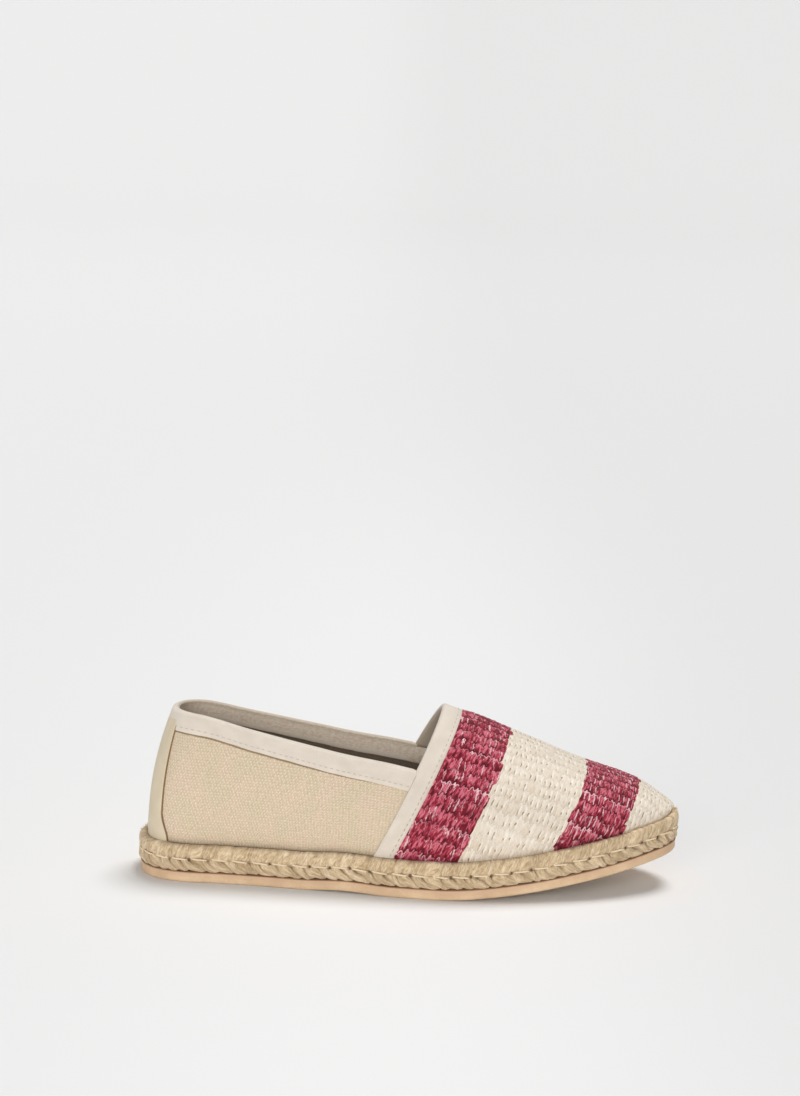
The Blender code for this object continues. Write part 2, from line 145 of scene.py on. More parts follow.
def ribPoint(turn, side, row, offset=0.0, lift=0.0, back=0.0):
    # The upper's surface. Turn picks the rib, from the heel at 0 to the toe at pi, and row the height on it:
    # 0 at the foot, 1 at the collar, 2 on the spine. A rib's half width is (1 - t^shoulder)^(1/crown) of the
    # foot's plus the belly, where t is the share of its rise. Offset moves out, lift up, back behind the rib.
    turn, side, row = np.broadcast_arrays(np.asarray(turn, float), np.asarray(side, float), np.asarray(row, float))
    station = (1.0 - np.cos(turn)) / 2.0
    x, y, outX, outY = soleEdge(side, turn)
    acrossX, acrossOut = soleEdge(-side, turn)[::2]
    inset = last["inset"] - offset
    footX, footY = x - outX * inset, y - outY * inset
    heelX = last["heelAxis"] * last["length"]
    axisX, acrossAxis = np.maximum(footX, heelX), np.maximum(acrossX - acrossOut * inset, heelX)
    axisY = curve(outline, "centre", axisX / last["length"]) * last["ball"]
    rise = curve(ribs, "rise", station) * last["instep"]
    rise = rise + offset * rise / (rise + np.abs(offset) + 1e-9)
    shoulder, crown = curve(ribs, "shoulder", station), curve(ribs, "crown", station)
    heelRise = last["heelHeight"] - last["throatHeight"]
    collar = last["throatHeight"] + curve(ribs, "collar", station) * heelRise
    extra = (side > 0.0) * curve(ribs, "inner", station) * last["throatHeight"]
    vamp = (last["throatHeight"] + extra) * curve(ribs, "rise", station) / curve(ribs, "rise", last["throat"])
    level = np.where(station < last["throat"], collar + extra, vamp) * np.minimum(row, 1.0) + lift
    t = np.clip(level / np.maximum(rise, 1e-6), 0.0, 1.0)
    angle = np.arcsin(t ** (shoulder / 2.0))
    angle = angle + (math.pi / 2.0 - angle) * np.clip(row - 1.0, 0.0, 1.0)
    t = np.sin(angle) ** (2.0 / shoulder)
    width = np.clip(np.cos(angle), 0.0, 1.0) ** (2.0 / crown) + curve(ribs, "belly", station) * 4.0 * t * (1.0 - t)
    height = t * rise
    leanY = (curve(ribs, "spine", station) * last["ball"] - axisY) * t ** 1.5
    meetX = (acrossAxis - axisX) / 2.0 * t ** 1.5
    tilted = ease((station - last["tiltStart"]) / (last["throat"] - last["tiltStart"]))
    pointX = axisX + meetX + math.tan(last["tilt"]) * tilted * height + (footX - axisX) * width
    pointY = axisY + leanY + (footY - axisY) * width
    pointZ = underside(footX + meetX) + footHeight + height
    return inFrame(pointX - back * math.cos(last["tilt"]), pointY, pointZ + back * math.sin(last["tilt"]))


def turnAt(station):
    return math.acos(1.0 - 2.0 * station)


def runLength(line):
    steps = np.linalg.norm(np.diff(line, axis=-2), axis=-1)
    return np.concatenate([np.zeros(steps.shape[:-1] + (1,)), np.cumsum(steps, axis=-1)], axis=-1)


def evenTurns(start, stop, count, side=-1, row=0.6):
    # turns from start to stop, at even steps along the surface
    fine = np.linspace(start, stop, 500)
    run = runLength(ribPoint(fine, side, row))
    return np.interp(np.linspace(0.0, run[-1], count), run, fine)


def edgeLoop():
    # the whole edge as one loop: place 0 at the heel, 1 at the toe by the outer side, 2 back at the heel
    shares, sizes = [], []
    for rows in (outerRows, innerRows):
        run = runLength(np.stack(rows[:2], axis=-1))
        shares.append(run / run[-1])
        sizes.append(run[-1])
    place = np.concatenate([shares[0], 2.0 - shares[1][::-1][1:]])
    values = [np.concatenate([a, b[::-1][1:]]) for a, b in zip(outerRows, innerRows)]
    return place, values, sum(sizes) / 2.0


loopPlace, loopValues, sideLength = edgeLoop()


def loopPoint(place, inset, height):
    place = np.mod(place, 2.0)
    x, y, outX, outY = [np.interp(place, loopPlace, row) for row in loopValues]
    x, y = x - outX * inset, y - outY * inset
    return inFrame(x, y, underside(x) + height)


def loopInward(place, inset, share, height):
    # from the inset edge towards the point midway to the same place on the other side
    near, far = loopPoint(place, inset, height), loopPoint(2.0 - np.mod(place, 2.0), inset, height)
    point = near + (far - near) / 2.0 * np.asarray(share)[..., None]
    return inFrame(point[..., 0] + last["length"] / 2.0, point[..., 1] + middleY,
                   underside(point[..., 0] + last["length"] / 2.0) + height)


def gridFaces(rows, columns, wrapRows=False, wrapColumns=False, flip=False):
    # quads of a grid stored row by row; they face columns direction cross rows direction
    row = np.arange(rows if wrapRows else rows - 1)[:, None]
    column = np.arange(columns if wrapColumns else columns - 1)[None, :]
    nextRow, nextColumn = (row + 1) % rows, (column + 1) % columns
    corners = [row * columns + column, row * columns + nextColumn,
               nextRow * columns + nextColumn, nextRow * columns + column]
    faces = np.stack(np.broadcast_arrays(*corners), axis=-1).reshape(-1, 4)
    return faces[:, ::-1] if flip else faces


def gridNormals(points, wrapColumns=False):
    if wrapColumns:
        alongColumns = np.roll(points, -1, axis=1) - np.roll(points, 1, axis=1)
    else:
        alongColumns = np.gradient(points, axis=1)
    normals = np.cross(alongColumns, np.gradient(points, axis=0))
    return normals / np.maximum(np.linalg.norm(normals, axis=-1, keepdims=True), 1e-12)


def addPiece(name, points, faces, material, nodes=(), uv=None, masks=None, crease=80.0):
    # Points that lie on each other are welded, and a quad that loses a corner becomes a triangle. The map's two
    # parts and the masks spread over the points' own grid.
    grid = points.shape[:-1]
    points = points.reshape(-1, 3)
    first, index = np.unique(np.round(points / 2e-7).astype(np.int64), axis=0,
                             return_index=True, return_inverse=True)[1:]
    welded = index.reshape(-1)[faces]
    kept = welded != np.roll(welded, 1, axis=1)
    kept &= (kept.sum(axis=1) > 2)[:, None]
    counts = kept.sum(axis=1)
    counts = counts[counts > 0]
    mesh = bpy.data.meshes.new(name)
    mesh.vertices.add(len(first))
    mesh.vertices.foreach_set("co", points[first].astype(np.float32).ravel())
    mesh.loops.add(int(counts.sum()))
    mesh.loops.foreach_set("vertex_index", welded[kept].astype(np.int32))
    mesh.polygons.add(len(counts))
    mesh.polygons.foreach_set("loop_start", np.concatenate([[0], np.cumsum(counts)[:-1]]).astype(np.int32))
    mesh.update(calc_edges=True)
    if uv is not None:
        flat = np.stack([np.broadcast_to(part, grid).ravel() for part in uv], axis=-1)
        mesh.uv_layers.new(name="clothMap").data.foreach_set("uv", flat[faces[kept]].astype(np.float32).ravel())
    for label, values in (masks or {}).items():
        attribute = mesh.attributes.new(label, "FLOAT", "POINT")
        attribute.data.foreach_set("value", np.broadcast_to(values, grid).ravel()[first].astype(np.float32))
    mesh.validate()
    mesh.materials.append(material)
    mesh.shade_smooth()
    mesh.set_sharp_from_angle(angle=math.radians(crease))
    piece = bpy.data.objects.new(name, mesh)
    bpy.context.scene.collection.objects.link(piece)
    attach(piece, "root")
    if nodes:
        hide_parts(*nodes)
    print(name, "triangles", int((counts - 2).sum()))


def addGrid(name, points, material, slot, nodes, uv=None, masks=None, crease=80.0, **wrap):
    addPiece(name, points, gridFaces(*points.shape[:2], **wrap), material, nodes, uv, masks, crease)


def endsTwice(rows):
    return np.concatenate([rows[:1], rows, rows[-1:]])


def closeEnds(points, count=None):
    # both ends of a carried profile close at a point of their own, the mean of its first points there
    centre = points[:count].mean(axis=0, keepdims=True)
    first, final = [np.repeat(centre[:, [end]], len(points), axis=0) for end in (0, -1)]
    return np.concatenate([first, points, final], axis=1)


def threadRuns(paths, normals, radius, sides=6, flat=1.0):
    # one closed capsule along each path: rings of the path's radius, flattened towards the surface
    tangent = np.gradient(paths, axis=1)
    tangent /= np.linalg.norm(tangent, axis=-1, keepdims=True)
    across = np.cross(tangent, normals)
    across /= np.linalg.norm(across, axis=-1, keepdims=True)
    up = np.cross(across, tangent)
    count = paths.shape[1]
    t = np.linspace(-1.0, 1.0, count)
    size = radius * np.sqrt(np.clip(1.0 - np.abs(t) ** 5.0, 0.0, 1.0))
    angle = np.arange(sides) * 2.0 * math.pi / sides
    ring = (np.cos(angle)[:, None] * across[:, :, None, :] + flat * np.sin(angle)[:, None] * up[:, :, None, :])
    points = paths[:, :, None, :] + size[None, :, None, None] * ring
    faces = gridFaces(count, sides, wrapColumns=True)
    shift = np.arange(len(paths))[:, None, None] * count * sides
    uv = (runLength(paths)[:, :, None] / mm, angle / math.pi)
    return points, (faces[None] + shift).reshape(-1, 4), uv


# Materials. A Wire is a node's output that can stand in a sum, each step of which becomes one Math node. Scales are
# in millimetres, apart from the few that read the object's own metres.
class Wire:
    def __init__(self, socket):
        self.socket = socket
        self.tree = socket.id_data

    def __add__(self, other):
        return calc("ADD", self, other)

    def __sub__(self, other):
        return calc("SUBTRACT", self, other)

    def __mul__(self, other):
        return calc("MULTIPLY", self, other)

    def __truediv__(self, other):
        return calc("DIVIDE", self, other)

    def __abs__(self):
        return calc("ABSOLUTE", self)


def plug(socket, value):
    # a wire is linked, and a number or a colour is set on the socket itself
    if isinstance(value, Wire):
        value.tree.links.new(value.socket, socket)
    else:
        socket.default_value = value


def addNode(tree, kind, output, inputs, **settings):
    # one node with its settings and inputs, as the wire of its output
    node = tree.nodes.new("ShaderNode" + kind)
    for name, value in settings.items():
        setattr(node, name, value)
    for name, value in inputs.items():
        plug(node.inputs[name], value)
    return Wire(node.outputs[output])


def calc(operation, *values):
    return addNode(values[0].tree, "Math", 0, dict(enumerate(values)), operation=operation)


def between(value, low, high, start=0.0, end=1.0):
    # a smooth step from start, at low, to end, at high
    inputs = {"Value": value, "From Min": low, "From Max": high, "To Min": start, "To Max": end}
    return addNode(value.tree, "MapRange", "Result", inputs, interpolation_type="SMOOTHSTEP")


def mix(share, first, second, mode="MIX"):
    first, second = [value if isinstance(value, Wire) else (*value, 1.0) for value in (first, second)]
    return addNode(share.tree, "Mix", 2, {0: share, 6: first, 7: second}, data_type="RGBA", blend_type=mode)


def noise(vector, scale, detail=2.0, roughness=0.5, turn=0.0):
    # the scale is one number, or one along the cloth and one across it
    if isinstance(scale, tuple):
        inputs = {"Vector": vector, "Scale": (*scale, 1.0), "Rotation": (0.0, 0.0, turn)}
        vector, scale = addNode(vector.tree, "Mapping", "Vector", inputs), 1.0
    inputs = {"Vector": vector, "Scale": scale, "Detail": detail, "Roughness": roughness}
    return addNode(vector.tree, "TexNoise", "Fac", inputs)


def joined(first, second):
    return addNode(first.tree, "CombineXYZ", 0, {0: first, 1: second})


def parted(vector):
    node = addNode(vector.tree, "SeparateXYZ", 0, {0: vector}).socket.node
    return [Wire(output) for output in node.outputs]


def cellRandom(first, second):
    # three random values for each pair of whole numbers
    inputs = {"Vector": joined(first, second)}
    return parted(addNode(first.tree, "TexWhiteNoise", "Color", inputs, noise_dimensions="2D"))


def clothMap(tree):
    # the piece's own map, and its two parts
    vector = addNode(tree, "UVMap", 0, {}, uv_map="clothMap")
    return vector, *parted(vector)[:2]


def objectMap(tree):
    return addNode(tree, "TexCoord", "Object", {})


def maskValue(tree, label):
    return addNode(tree, "Attribute", "Fac", {}, attribute_name=label)


def newMaterial(name, colour, roughness, sheen=0.0, specular=0.3):
    material = bpy.data.materials.new(name)
    material.use_nodes = True
    material.diffuse_color = (*colour, 1.0)
    inputs = material.node_tree.nodes["Principled BSDF"].inputs
    inputs["Base Color"].default_value = (*colour, 1.0)
    inputs["Roughness"].default_value = roughness
    inputs["Sheen Weight"].default_value = sheen
    inputs["Sheen Roughness"].default_value = 0.5
    inputs["Specular IOR Level"].default_value = specular
    return material, material.node_tree


def finishMaterial(material, colour, height=None, depth=0.0, strength=1.0):
    # links the colour, and the height as bumps of a depth in metres
    inputs = material.node_tree.nodes["Principled BSDF"].inputs
    plug(inputs["Base Color"], colour)
    if height is not None:
        bump = {"Height": height, "Distance": depth, "Strength": strength}
        plug(inputs["Normal"], addNode(material.node_tree, "Bump", "Normal", bump))
    return material


def threadWave(value, pitch):
    # 1 on a thread's crest and 0 between threads
    return calc("SINE", value * (2.0 * math.pi / pitch)) * 0.5 + 0.5


def plainWeave(along, across, pitch):
    # two sets of threads that pass over each other: the product of the two sines
    a, b = calc("SINE", along * (math.pi / pitch)), calc("SINE", across * (math.pi / pitch))
    return (a * b * 0.5 + 0.5) * 0.6 + abs(a) * abs(b) * 0.4


def clothMaterial(name, light, dark, pitch):
    # canvas: threads at the pitch, slubs as long soft noise both ways, and slow patches of tone
    material, tree = newMaterial(name, light, 0.9, 0.15)
    vector, along, across = clothMap(tree)
    weave = plainWeave(along, across, pitch)
    slubs = (noise(vector, (0.35, 1.3), 3.0) + noise(vector, (1.5, 0.4), 3.0)) * 0.5
    grain = noise(vector, (1.1, 0.75), 2.0, 0.6, 0.5)
    tone = noise(vector, (0.05, 0.05)) * 0.25 + (weave * 0.60 + slubs * 0.5 + grain * 0.55)
    return finishMaterial(material, mix(between(tone, 0.45, 1.15), dark, light), weave + grain * 0.8, 0.00016)


# Jute plait: two rows of strands, leaning down to the toe below the stitched groove and up to it above.
plait = {
    "pitch": 6.6, "groove": 6.1, "lowerLean": 6.2, "upperLean": 2.6,
    "lowerDepth": 0.95, "upperDepth": 0.42, "round": 1.7, "grooveRound": 1.1,
    "stitchPitch": 9.75, "columns": 2400, "rows": 15,
    # the gap and rim colours are painted shade: between strands, in grooves and holes, and where the top turns in
    "light": (0.82, 0.635, 0.41), "dark": (0.46, 0.315, 0.17), "gapShade": (0.155, 0.09, 0.038),
    "bright": (0.96, 0.80, 0.58), "rimShade": (0.30, 0.21, 0.085),
    "hairs": 2600, "hairRadius": 0.055, "threadRadius": 0.48, "threadFlat": 0.8,
    "thread": (0.95, 0.80, 0.58), "threadDark": (0.72, 0.55, 0.34),
}
loopLength = 2.0 * sideLength / mm
strandCount = 2 * round(loopLength / 2.0 / plait["pitch"])
stitchCount = round(loopLength / plait["stitchPitch"])
plaitFoot = last["rubber"] + last["gap"]


def plaitProfile():
    # Side view from the foot: height, inset, row share and whether it is the upper row. Each row bulges as
    # 1 - (1 - |q|^2.6)^(1/2), deeper at the foot and the top than at the groove.
    groove, top = plait["groove"], last["plait"] / mm
    q = np.sin(np.linspace(-math.pi / 2.0, math.pi / 2.0, plait["rows"]))
    swell = 1.0 - np.sqrt(np.clip(1.0 - np.abs(q) ** 2.6, 0.0, 1.0))
    lowInset = swell * np.where(q < 0.0, plait["round"], plait["grooveRound"])
    highInset = swell * np.where(q < 0.0, plait["grooveRound"], plait["round"])
    height = np.concatenate([[0.0], (q + 1.0) / 2.0 * groove, groove + (q + 1.0) / 2.0 * (top - groove),
                             [top, top - 0.05, top - 0.35, top - 0.35]])
    inset = np.concatenate([[4.0], lowInset, highInset, [2.6, 3.8, 4.9, 7.5]])
    share = np.concatenate([[1.0], 1.0 - (q + 1.0) / 2.0, (q + 1.0) / 2.0, [1.0, 1.0, 1.0, 1.0]])
    upper = np.arange(len(height)) > plait["rows"]
    return height, inset, share, upper


def waves(around, *terms):
    # a sum of sines round the loop, each given as waves in the whole loop, size in mm and phase
    return sum(size * np.sin(around * count * 2.0 * math.pi / loopLength + phase) for count, size, phase in terms)


def makePlait(material):
    # Strands are a ramp of the distance round the loop, leaned by the row share. Each bulges as
    # 1 - |2p - 1|^n and is made of yarns of slightly different heights, three below the groove and five above.
    height, inset, share, upper = [rows[:, None] for rows in plaitProfile()]
    place = np.arange(plait["columns"]) * 2.0 / plait["columns"]
    smooth = loopPoint(place[None, :], inset * mm, plaitFoot + height * mm)
    normals = gridNormals(smooth, wrapColumns=True)
    around = (place * loopLength / 2.0)[None, :]
    wobble = waves(around, (17, 0.9, 0.0), (31, 0.5, 1.0), (53, 0.55, 2.2), (83, 0.30, 0.4))
    lean = np.where(upper, plait["upperLean"] * share ** 1.1, plait["lowerLean"] * share ** 1.5)
    strand = (around + wobble - lean) * strandCount / loopLength + np.where(upper, 0.45, 0.0)
    number = np.mod(np.floor(strand), strandCount)
    part = strand - np.floor(strand)
    chance = scatter(number + 200.0 * upper, 1.0)
    bulge = 1.0 - np.abs(2.0 * part ** np.where(upper, 1.1, 1.35) - 1.0) ** np.where(upper, 4.0, 2.6)
    depth = [plait["upperDepth"] * (1.0 - 0.3 * share), plait["lowerDepth"] * (0.95 - 0.35 * share)]
    depth = np.where(upper, *depth)
    yarnPlace = part * np.where(upper, 5.0, 3.0) + np.where(upper, 0.5, 0.9) * share + chance
    yarn = scatter(np.floor(yarnPlace) + 7.0 * number + 1000.0 * upper, 9.0)
    yarns = 1.0 - np.abs(2.0 * (yarnPlace - np.floor(yarnPlace)) - 1.0) ** 2.0
    relief = -depth * (1.0 - bulge) * (0.5 + 0.8 * chance)
    relief = relief + (np.where(upper, 0.10, 0.17) * yarns + 0.14 * (yarn - 0.5)) * bulge - 0.08
    swell = np.where(upper, waves(around, (23, 0.12, 0.3), (41, 0.11, 1.9), (97, 0.06, 0.7)),
                     waves(around, (19, 0.12, 2.0), (37, 0.10, 0.2), (101, 0.07, 1.1)))
    stitch = around / loopLength * stitchCount
    hole = (stitch - np.floor(stitch) - 0.5) * plait["stitchPitch"]
    hole = np.exp(-(hole / 0.75) ** 2 - ((height - plait["groove"]) / 0.5) ** 2)
    hole = hole * (0.12 + 0.60 * (scatter(np.floor(stitch), 6.0) > 0.55))
    relief = (relief + swell - hole) * np.where(inset > 3.5, 0.3, 1.0)
    points = smooth + normals * relief[..., None] * mm
    # painted shade: darker between strands, in the yarn grooves and the stitch holes, and on the faces turned out of
    # sight
    gap = (1.0 - bulge) ** 1.6 * np.where(upper, 0.34 * (0.2 + chance), (1.0 - 0.55 * share) * (0.35 + 0.65 * chance))
    gap = np.clip(gap + np.where(upper, 0.10, 0.16) * (1.0 - yarns) ** 2 + 1.2 * hole, 0.0, 1.0)
    gap = np.maximum(gap, np.where(inset > 4.5, 0.9, 0.0))
    # painted shade where the plait's top turns in under the upper
    rim = np.clip((inset - 2.4) / 1.6 + 0.5 * waves(around, (149, 0.3, 0.0), (211, 0.3, 1.3)), 0.0, 1.0)
    rim = np.where(height > plait["groove"] + 1.0, rim, 0.0)
    length = np.where(upper, 40.0, 0.0) + share * np.where(upper, 8.6, 8.7)
    across = strand * loopLength / strandCount
    # close both flat faces at the middle line, under the rubber and the insole
    foot = loopInward(place, inset[0] * mm, 1.0, plaitFoot)[None]
    top = loopInward(place, inset[-1] * mm, 1.0, plaitFoot + height[-1] * mm)[None]
    across, length, gap, yarn, rim = [endsTwice(rows) for rows in (across, length, gap, yarn, rim)]
    addGrid("jutePlait", np.concatenate([foot, points, top]), material, "jute", ["jute_sole"], (across, length),
            {"gap": gap, "tint": yarn, "rim": rim}, wrapColumns=True)


def juteMaterial():
    # fibres run along each strand, as noise that is fine across it and long along it
    material, tree = newMaterial("jute", plait["light"], 0.95, 0.2)
    vector = clothMap(tree)[0]
    fibre = noise(vector, (2.6, 0.50), 4.0, 0.65)
    bundle = noise(vector, (0.95, 0.26), 2.0, 0.55)
    patch = noise(objectMap(tree), 90.0)
    tone = fibre * 0.85 + bundle * 0.85
    tone = maskValue(tree, "tint") * 0.20 + tone
    tone = patch * 0.35 + tone
    colour = mix(between(tone, 0.80, 1.36), plait["dark"], plait["light"])
    colour = mix(between(tone, 1.22, 1.50), colour, plait["bright"])
    # painted shade in the gaps and under the upper's edge
    colour = mix(between(maskValue(tree, "gap"), 0.10, 1.0, 0.0, 0.92), colour, plait["gapShade"])
    colour = mix(between(maskValue(tree, "rim"), 0.2, 1.0, 0.0, 0.7), colour, plait["rimShade"])
    return finishMaterial(material, colour, fibre + bundle * 0.8, 0.00045)


def plaitThreads(place, inset, height, radius, sides, flat=1.0):
    # threads along lines on the plait, in mm from its foot
    paths, further = [loopPoint(place, (inset - away) * mm, plaitFoot + height * mm) for away in (0.0, 1.0)]
    return threadRuns(paths, further - paths, radius * mm, sides, flat)


def makePlaitStitches(material):
    # a running stitch along the groove: each one dives at both ends and drops a little towards the toe
    number = np.arange(stitchCount)
    t = np.linspace(-1.0, 1.0, 15)
    reach = plait["stitchPitch"] * (0.40 + 0.04 * scatter(number, 2.0))[:, None]
    centre = number[:, None] * loopLength / stitchCount + 0.3 * (scatter(number, 3.0)[:, None] - 0.5)
    place = (centre + reach * t) * 2.0 / loopLength
    drop = np.where(np.mod(place, 2.0) < 1.0, -1.0, 1.0) * (0.20 + 0.25 * scatter(number, 8.0)[:, None])
    height = plait["groove"] + 0.1 + drop * t + 0.25 * (scatter(number, 4.0)[:, None] - 0.5)
    inset = 0.20 + 1.0 * np.abs(t) ** 6 + 0.14 * scatter(number, 5.0)[:, None]
    points, faces, uv = plaitThreads(place, inset, height, plait["threadRadius"], 8, plait["threadFlat"])
    addPiece("plaitStitches", points, faces, material, (), uv)


def makePlaitHairs(material):
    # stray fibres: short arcs that leave the plait, bend over and end free, most of them at its upper edge
    number = np.arange(plait["hairs"])
    t = np.linspace(0.0, 1.0, 5)[None, :]
    draw = [scatter(number, seed)[:, None] for seed in (11.0, 12.0, 13.0, 14.0, 15.0, 16.0)]
    top = last["plait"] / mm
    height = np.where(draw[0] < 0.45, top - 0.9 * draw[1], 0.8 + (top - 1.4) * draw[1])
    inset = np.where(draw[0] < 0.45, 1.9 - 1.3 * draw[2], 0.45)
    inset = inset - (0.25 + 0.55 * draw[3]) * np.sin(t * math.pi * 0.55)
    height = height + (draw[4] - 0.35) * 1.6 * t
    place = (number[:, None] + draw[5]) * loopLength / plait["hairs"] + (draw[2] - 0.5) * 5.0 * t
    points, faces, uv = plaitThreads(place * 2.0 / loopLength, inset, height, plait["hairRadius"], 3)
    addPiece("plaitHairs", points, faces, material, (), uv, {"gap": 0.0, "tint": 0.5, "rim": 0.0})


# Rubber outsole: a thin tan sheet, its edge ground square and its foot corner rounded
rubber = {
    "inset": 1.1, "corner": 1.1, "columns": 560,
    "light": (0.82, 0.59, 0.375), "dark": (0.66, 0.45, 0.27), "glue": (0.36, 0.20, 0.105),
    "warm": (0.66, 0.42, 0.27),
}


def makeRubber(material):
    # profile carried round the edge: half the underside, the rounded corner, a slightly hollow wall, half the top
    angle = np.linspace(0.0, math.pi / 2.0, 5)
    wall = np.linspace(0.0, 1.0, 7)[1:]
    top = last["rubber"] / mm
    corner = rubber["corner"]
    height = np.concatenate([corner * (1.0 - np.cos(angle)), corner + wall * (top - 0.35 - corner), [top - 0.1, top]])
    inset = rubber["inset"] + np.concatenate([corner * (1.0 - np.sin(angle)),
                                              0.18 * np.sin(math.pi * wall) - 0.2 * wall, [0.0, 0.4]])
    place = np.arange(rubber["columns"]) * 2.0 / rubber["columns"]
    rows = loopPoint(place[None, :], inset[:, None] * mm, height[:, None] * mm)
    shares = np.linspace(1.0, 0.0, 9)[:-1, None]
    under = loopInward(place[None, :], inset[0] * mm, shares, 0.0)
    over = loopInward(place[None, :], inset[-1] * mm, shares[::-1], last["rubber"])
    down = np.concatenate([np.ones(len(under)), np.zeros(len(rows) + len(over))])[:, None]
    rise = np.concatenate([np.zeros(len(under)), height / top, np.ones(len(over))])[:, None]
    addGrid("rubberOutsole", np.concatenate([under, rows, over]), material, "rubber", ["outsole"], None,
            {"under": down, "rise": rise}, 60.0, wrapColumns=True)


def rubberMaterial():
    # satin crepe rubber with cloudy patches, fine specks, and small waves moulded under the foot
    material, tree = newMaterial("naturalRubber", rubber["light"], 0.55, specular=0.4)
    vector = objectMap(tree)
    cloud = noise(vector, 45.0, 3.0, 0.6)
    speck = noise(vector, 900.0)
    tone = cloud * 0.8 + speck * 0.2
    colour = mix(between(tone, 0.35, 0.68), rubber["dark"], rubber["light"])
    rise = maskValue(tree, "rise")
    warm = (noise(vector, 60.0) - 0.5) * 1.6 + rise
    colour = mix(between(warm, 0.35, 0.95, 0.0, 0.6), colour, rubber["warm"])
    colour = mix(between(rise, 0.86, 0.98, 0.0, 0.75), colour, rubber["glue"])
    wave = addNode(tree, "TexWave", "Fac", {"Vector": vector, "Scale": 60.0, "Distortion": 1.5},
                   wave_profile="SIN", bands_direction="X")
    tread = wave * maskValue(tree, "under")
    height = speck * 0.12 + tread * 2.0
    return finishMaterial(material, colour, height, 0.0004, 0.8)


# Insole: canvas sock on a thin board, dished a little under the heel and the ball
insole = {
    "inset": 7.2, "toeRoom": 7.5, "thickness": 2.0, "edge": 0.7, "dish": 0.6,
    "columns": 300, "rings": 26,
    "light": (0.44, 0.36, 0.275), "dark": (0.31, 0.245, 0.18), "thread": 0.8,
}


def makeInsole(material):
    place = np.arange(insole["columns"]) * 2.0 / insole["columns"]
    toToe = 1.0 - np.abs(place - 1.0)
    inset = (insole["inset"] + insole["toeRoom"] * ease((toToe - 0.75) / 0.25)) * mm
    angle = np.linspace(0.0, math.pi / 2.0, 5)[:, None]
    side = loopPoint(place[None, :], inset + insole["edge"] * mm * (1.0 - np.cos(angle)),
                     footHeight + mm * (insole["thickness"] - insole["edge"] * (1.0 - np.sin(angle))))
    foot = loopPoint(place[None, :], inset[None, :], footHeight)
    share = np.linspace(0.0, 1.0, insole["rings"])[1:, None]
    top = loopInward(place[None, :], inset + insole["edge"] * mm, share, footHeight + insole["thickness"] * mm)
    dish = np.exp(-((top[..., 0] + 0.092) / 0.026) ** 2 - (top[..., 1] / 0.020) ** 2)
    dish = dish + 0.8 * np.exp(-((top[..., 0] - 0.045) / 0.030) ** 2 - ((top[..., 1] - 0.002) / 0.028) ** 2)
    top[..., 2] -= insole["dish"] * mm * dish
    under = loopInward(place[None, :], inset[None, :], np.linspace(1.0, 0.0, 4)[:-1, None], footHeight)
    points = np.concatenate([under, foot, side, top])
    addGrid("insoleSock", points, material, "insole_lining", ["insole"], (points[..., 0] / mm, points[..., 1] / mm),
            None, 50.0, wrapColumns=True)


# Tapes, named here because the canvas darkens beside them. Widths and thicknesses in mm.
tape = {
    "thickness": 0.9, "collarWidth": 8.0, "vampWidth": 8.4, "insideWidth": 8.5, "fold": 1.2, "press": 0.55,
    "runOn": 13.0, "ends": 24, "seam": -5.9, "insideSeam": -6.6, "vampSeam": 2.0, "rim": 0.45,
    # the edge colour is painted shadow and shade; the inner leg's two colours are the tape painted paler, as light
    # inside
    "light": (0.82, 0.735, 0.635), "dark": (0.69, 0.605, 0.51), "edgeColour": (0.30, 0.22, 0.135),
    "litInside": (1.0, 0.90, 0.765), "litInsideDark": (0.86, 0.69, 0.535),
    "stitchPitch": 2.9, "stitch": 1.9, "threadRadius": 0.17, "threadFlat": 0.8,
    "thread": (0.66, 0.57, 0.465), "threadDark": (0.43, 0.355, 0.275),
    # the inner leg's thread, painted paler as light inside the shoe
    "litInsideThread": (0.97, 0.90, 0.77), "litInsideThreadDark": (0.76, 0.67, 0.54),
}
outside = last["gap"] / mm + tape["thickness"]
wall = last["wall"] / mm


# Quarters: one canvas wall from the vamp round the heel
throatTurn = turnAt(last["throat"])
quarters = {
    "columns": 130, "rows": 54, "tuck": 0.5,
    "warpPitch": 0.80, "weftPitch": 1.35, "lean": 0.22,
    "pink": (0.775, 0.61, 0.455), "green": (0.725, 0.605, 0.425), "light": (0.92, 0.785, 0.605),
    # the seam colour is painted shadow under the tape's lower edge and painted shade at the foot
    "dark": (0.53, 0.41, 0.275), "seam": (0.24, 0.16, 0.08),
}
# soft creases: side, distance forward of the heel, height, length, width and depth in mm, and lean in
# degrees
quarterCreases = (
    (-1, 84.0, 22.0, 26.0, 6.0, -0.45, 62.0),
    (-1, 97.0, 14.0, 18.0, 5.0, -0.40, 40.0),
    (-1, 60.0, 33.0, 30.0, 9.0, 0.30, 75.0),
    (-1, 30.0, 12.0, 22.0, 7.0, -0.35, 20.0),
    (-1, 42.0, 40.0, 24.0, 7.0, -0.25, 8.0),
    (1, 80.0, 20.0, 26.0, 6.0, -0.50, 60.0),
    (1, 58.0, 30.0, 28.0, 8.0, 0.30, 70.0),
    (1, 34.0, 13.0, 22.0, 7.0, -0.35, 15.0),
)


def quarterPath(count, stopGap=0.0):
    # turn and side along the collar, from the inner throat round the heel to the outer throat
    stop = turnAt(last["throat"] - stopGap / last["length"])
    turns = evenTurns(0.0, stop, count)
    return np.concatenate([turns[::-1], turns[1:]]), np.concatenate([np.ones(count), -np.ones(count - 1)])


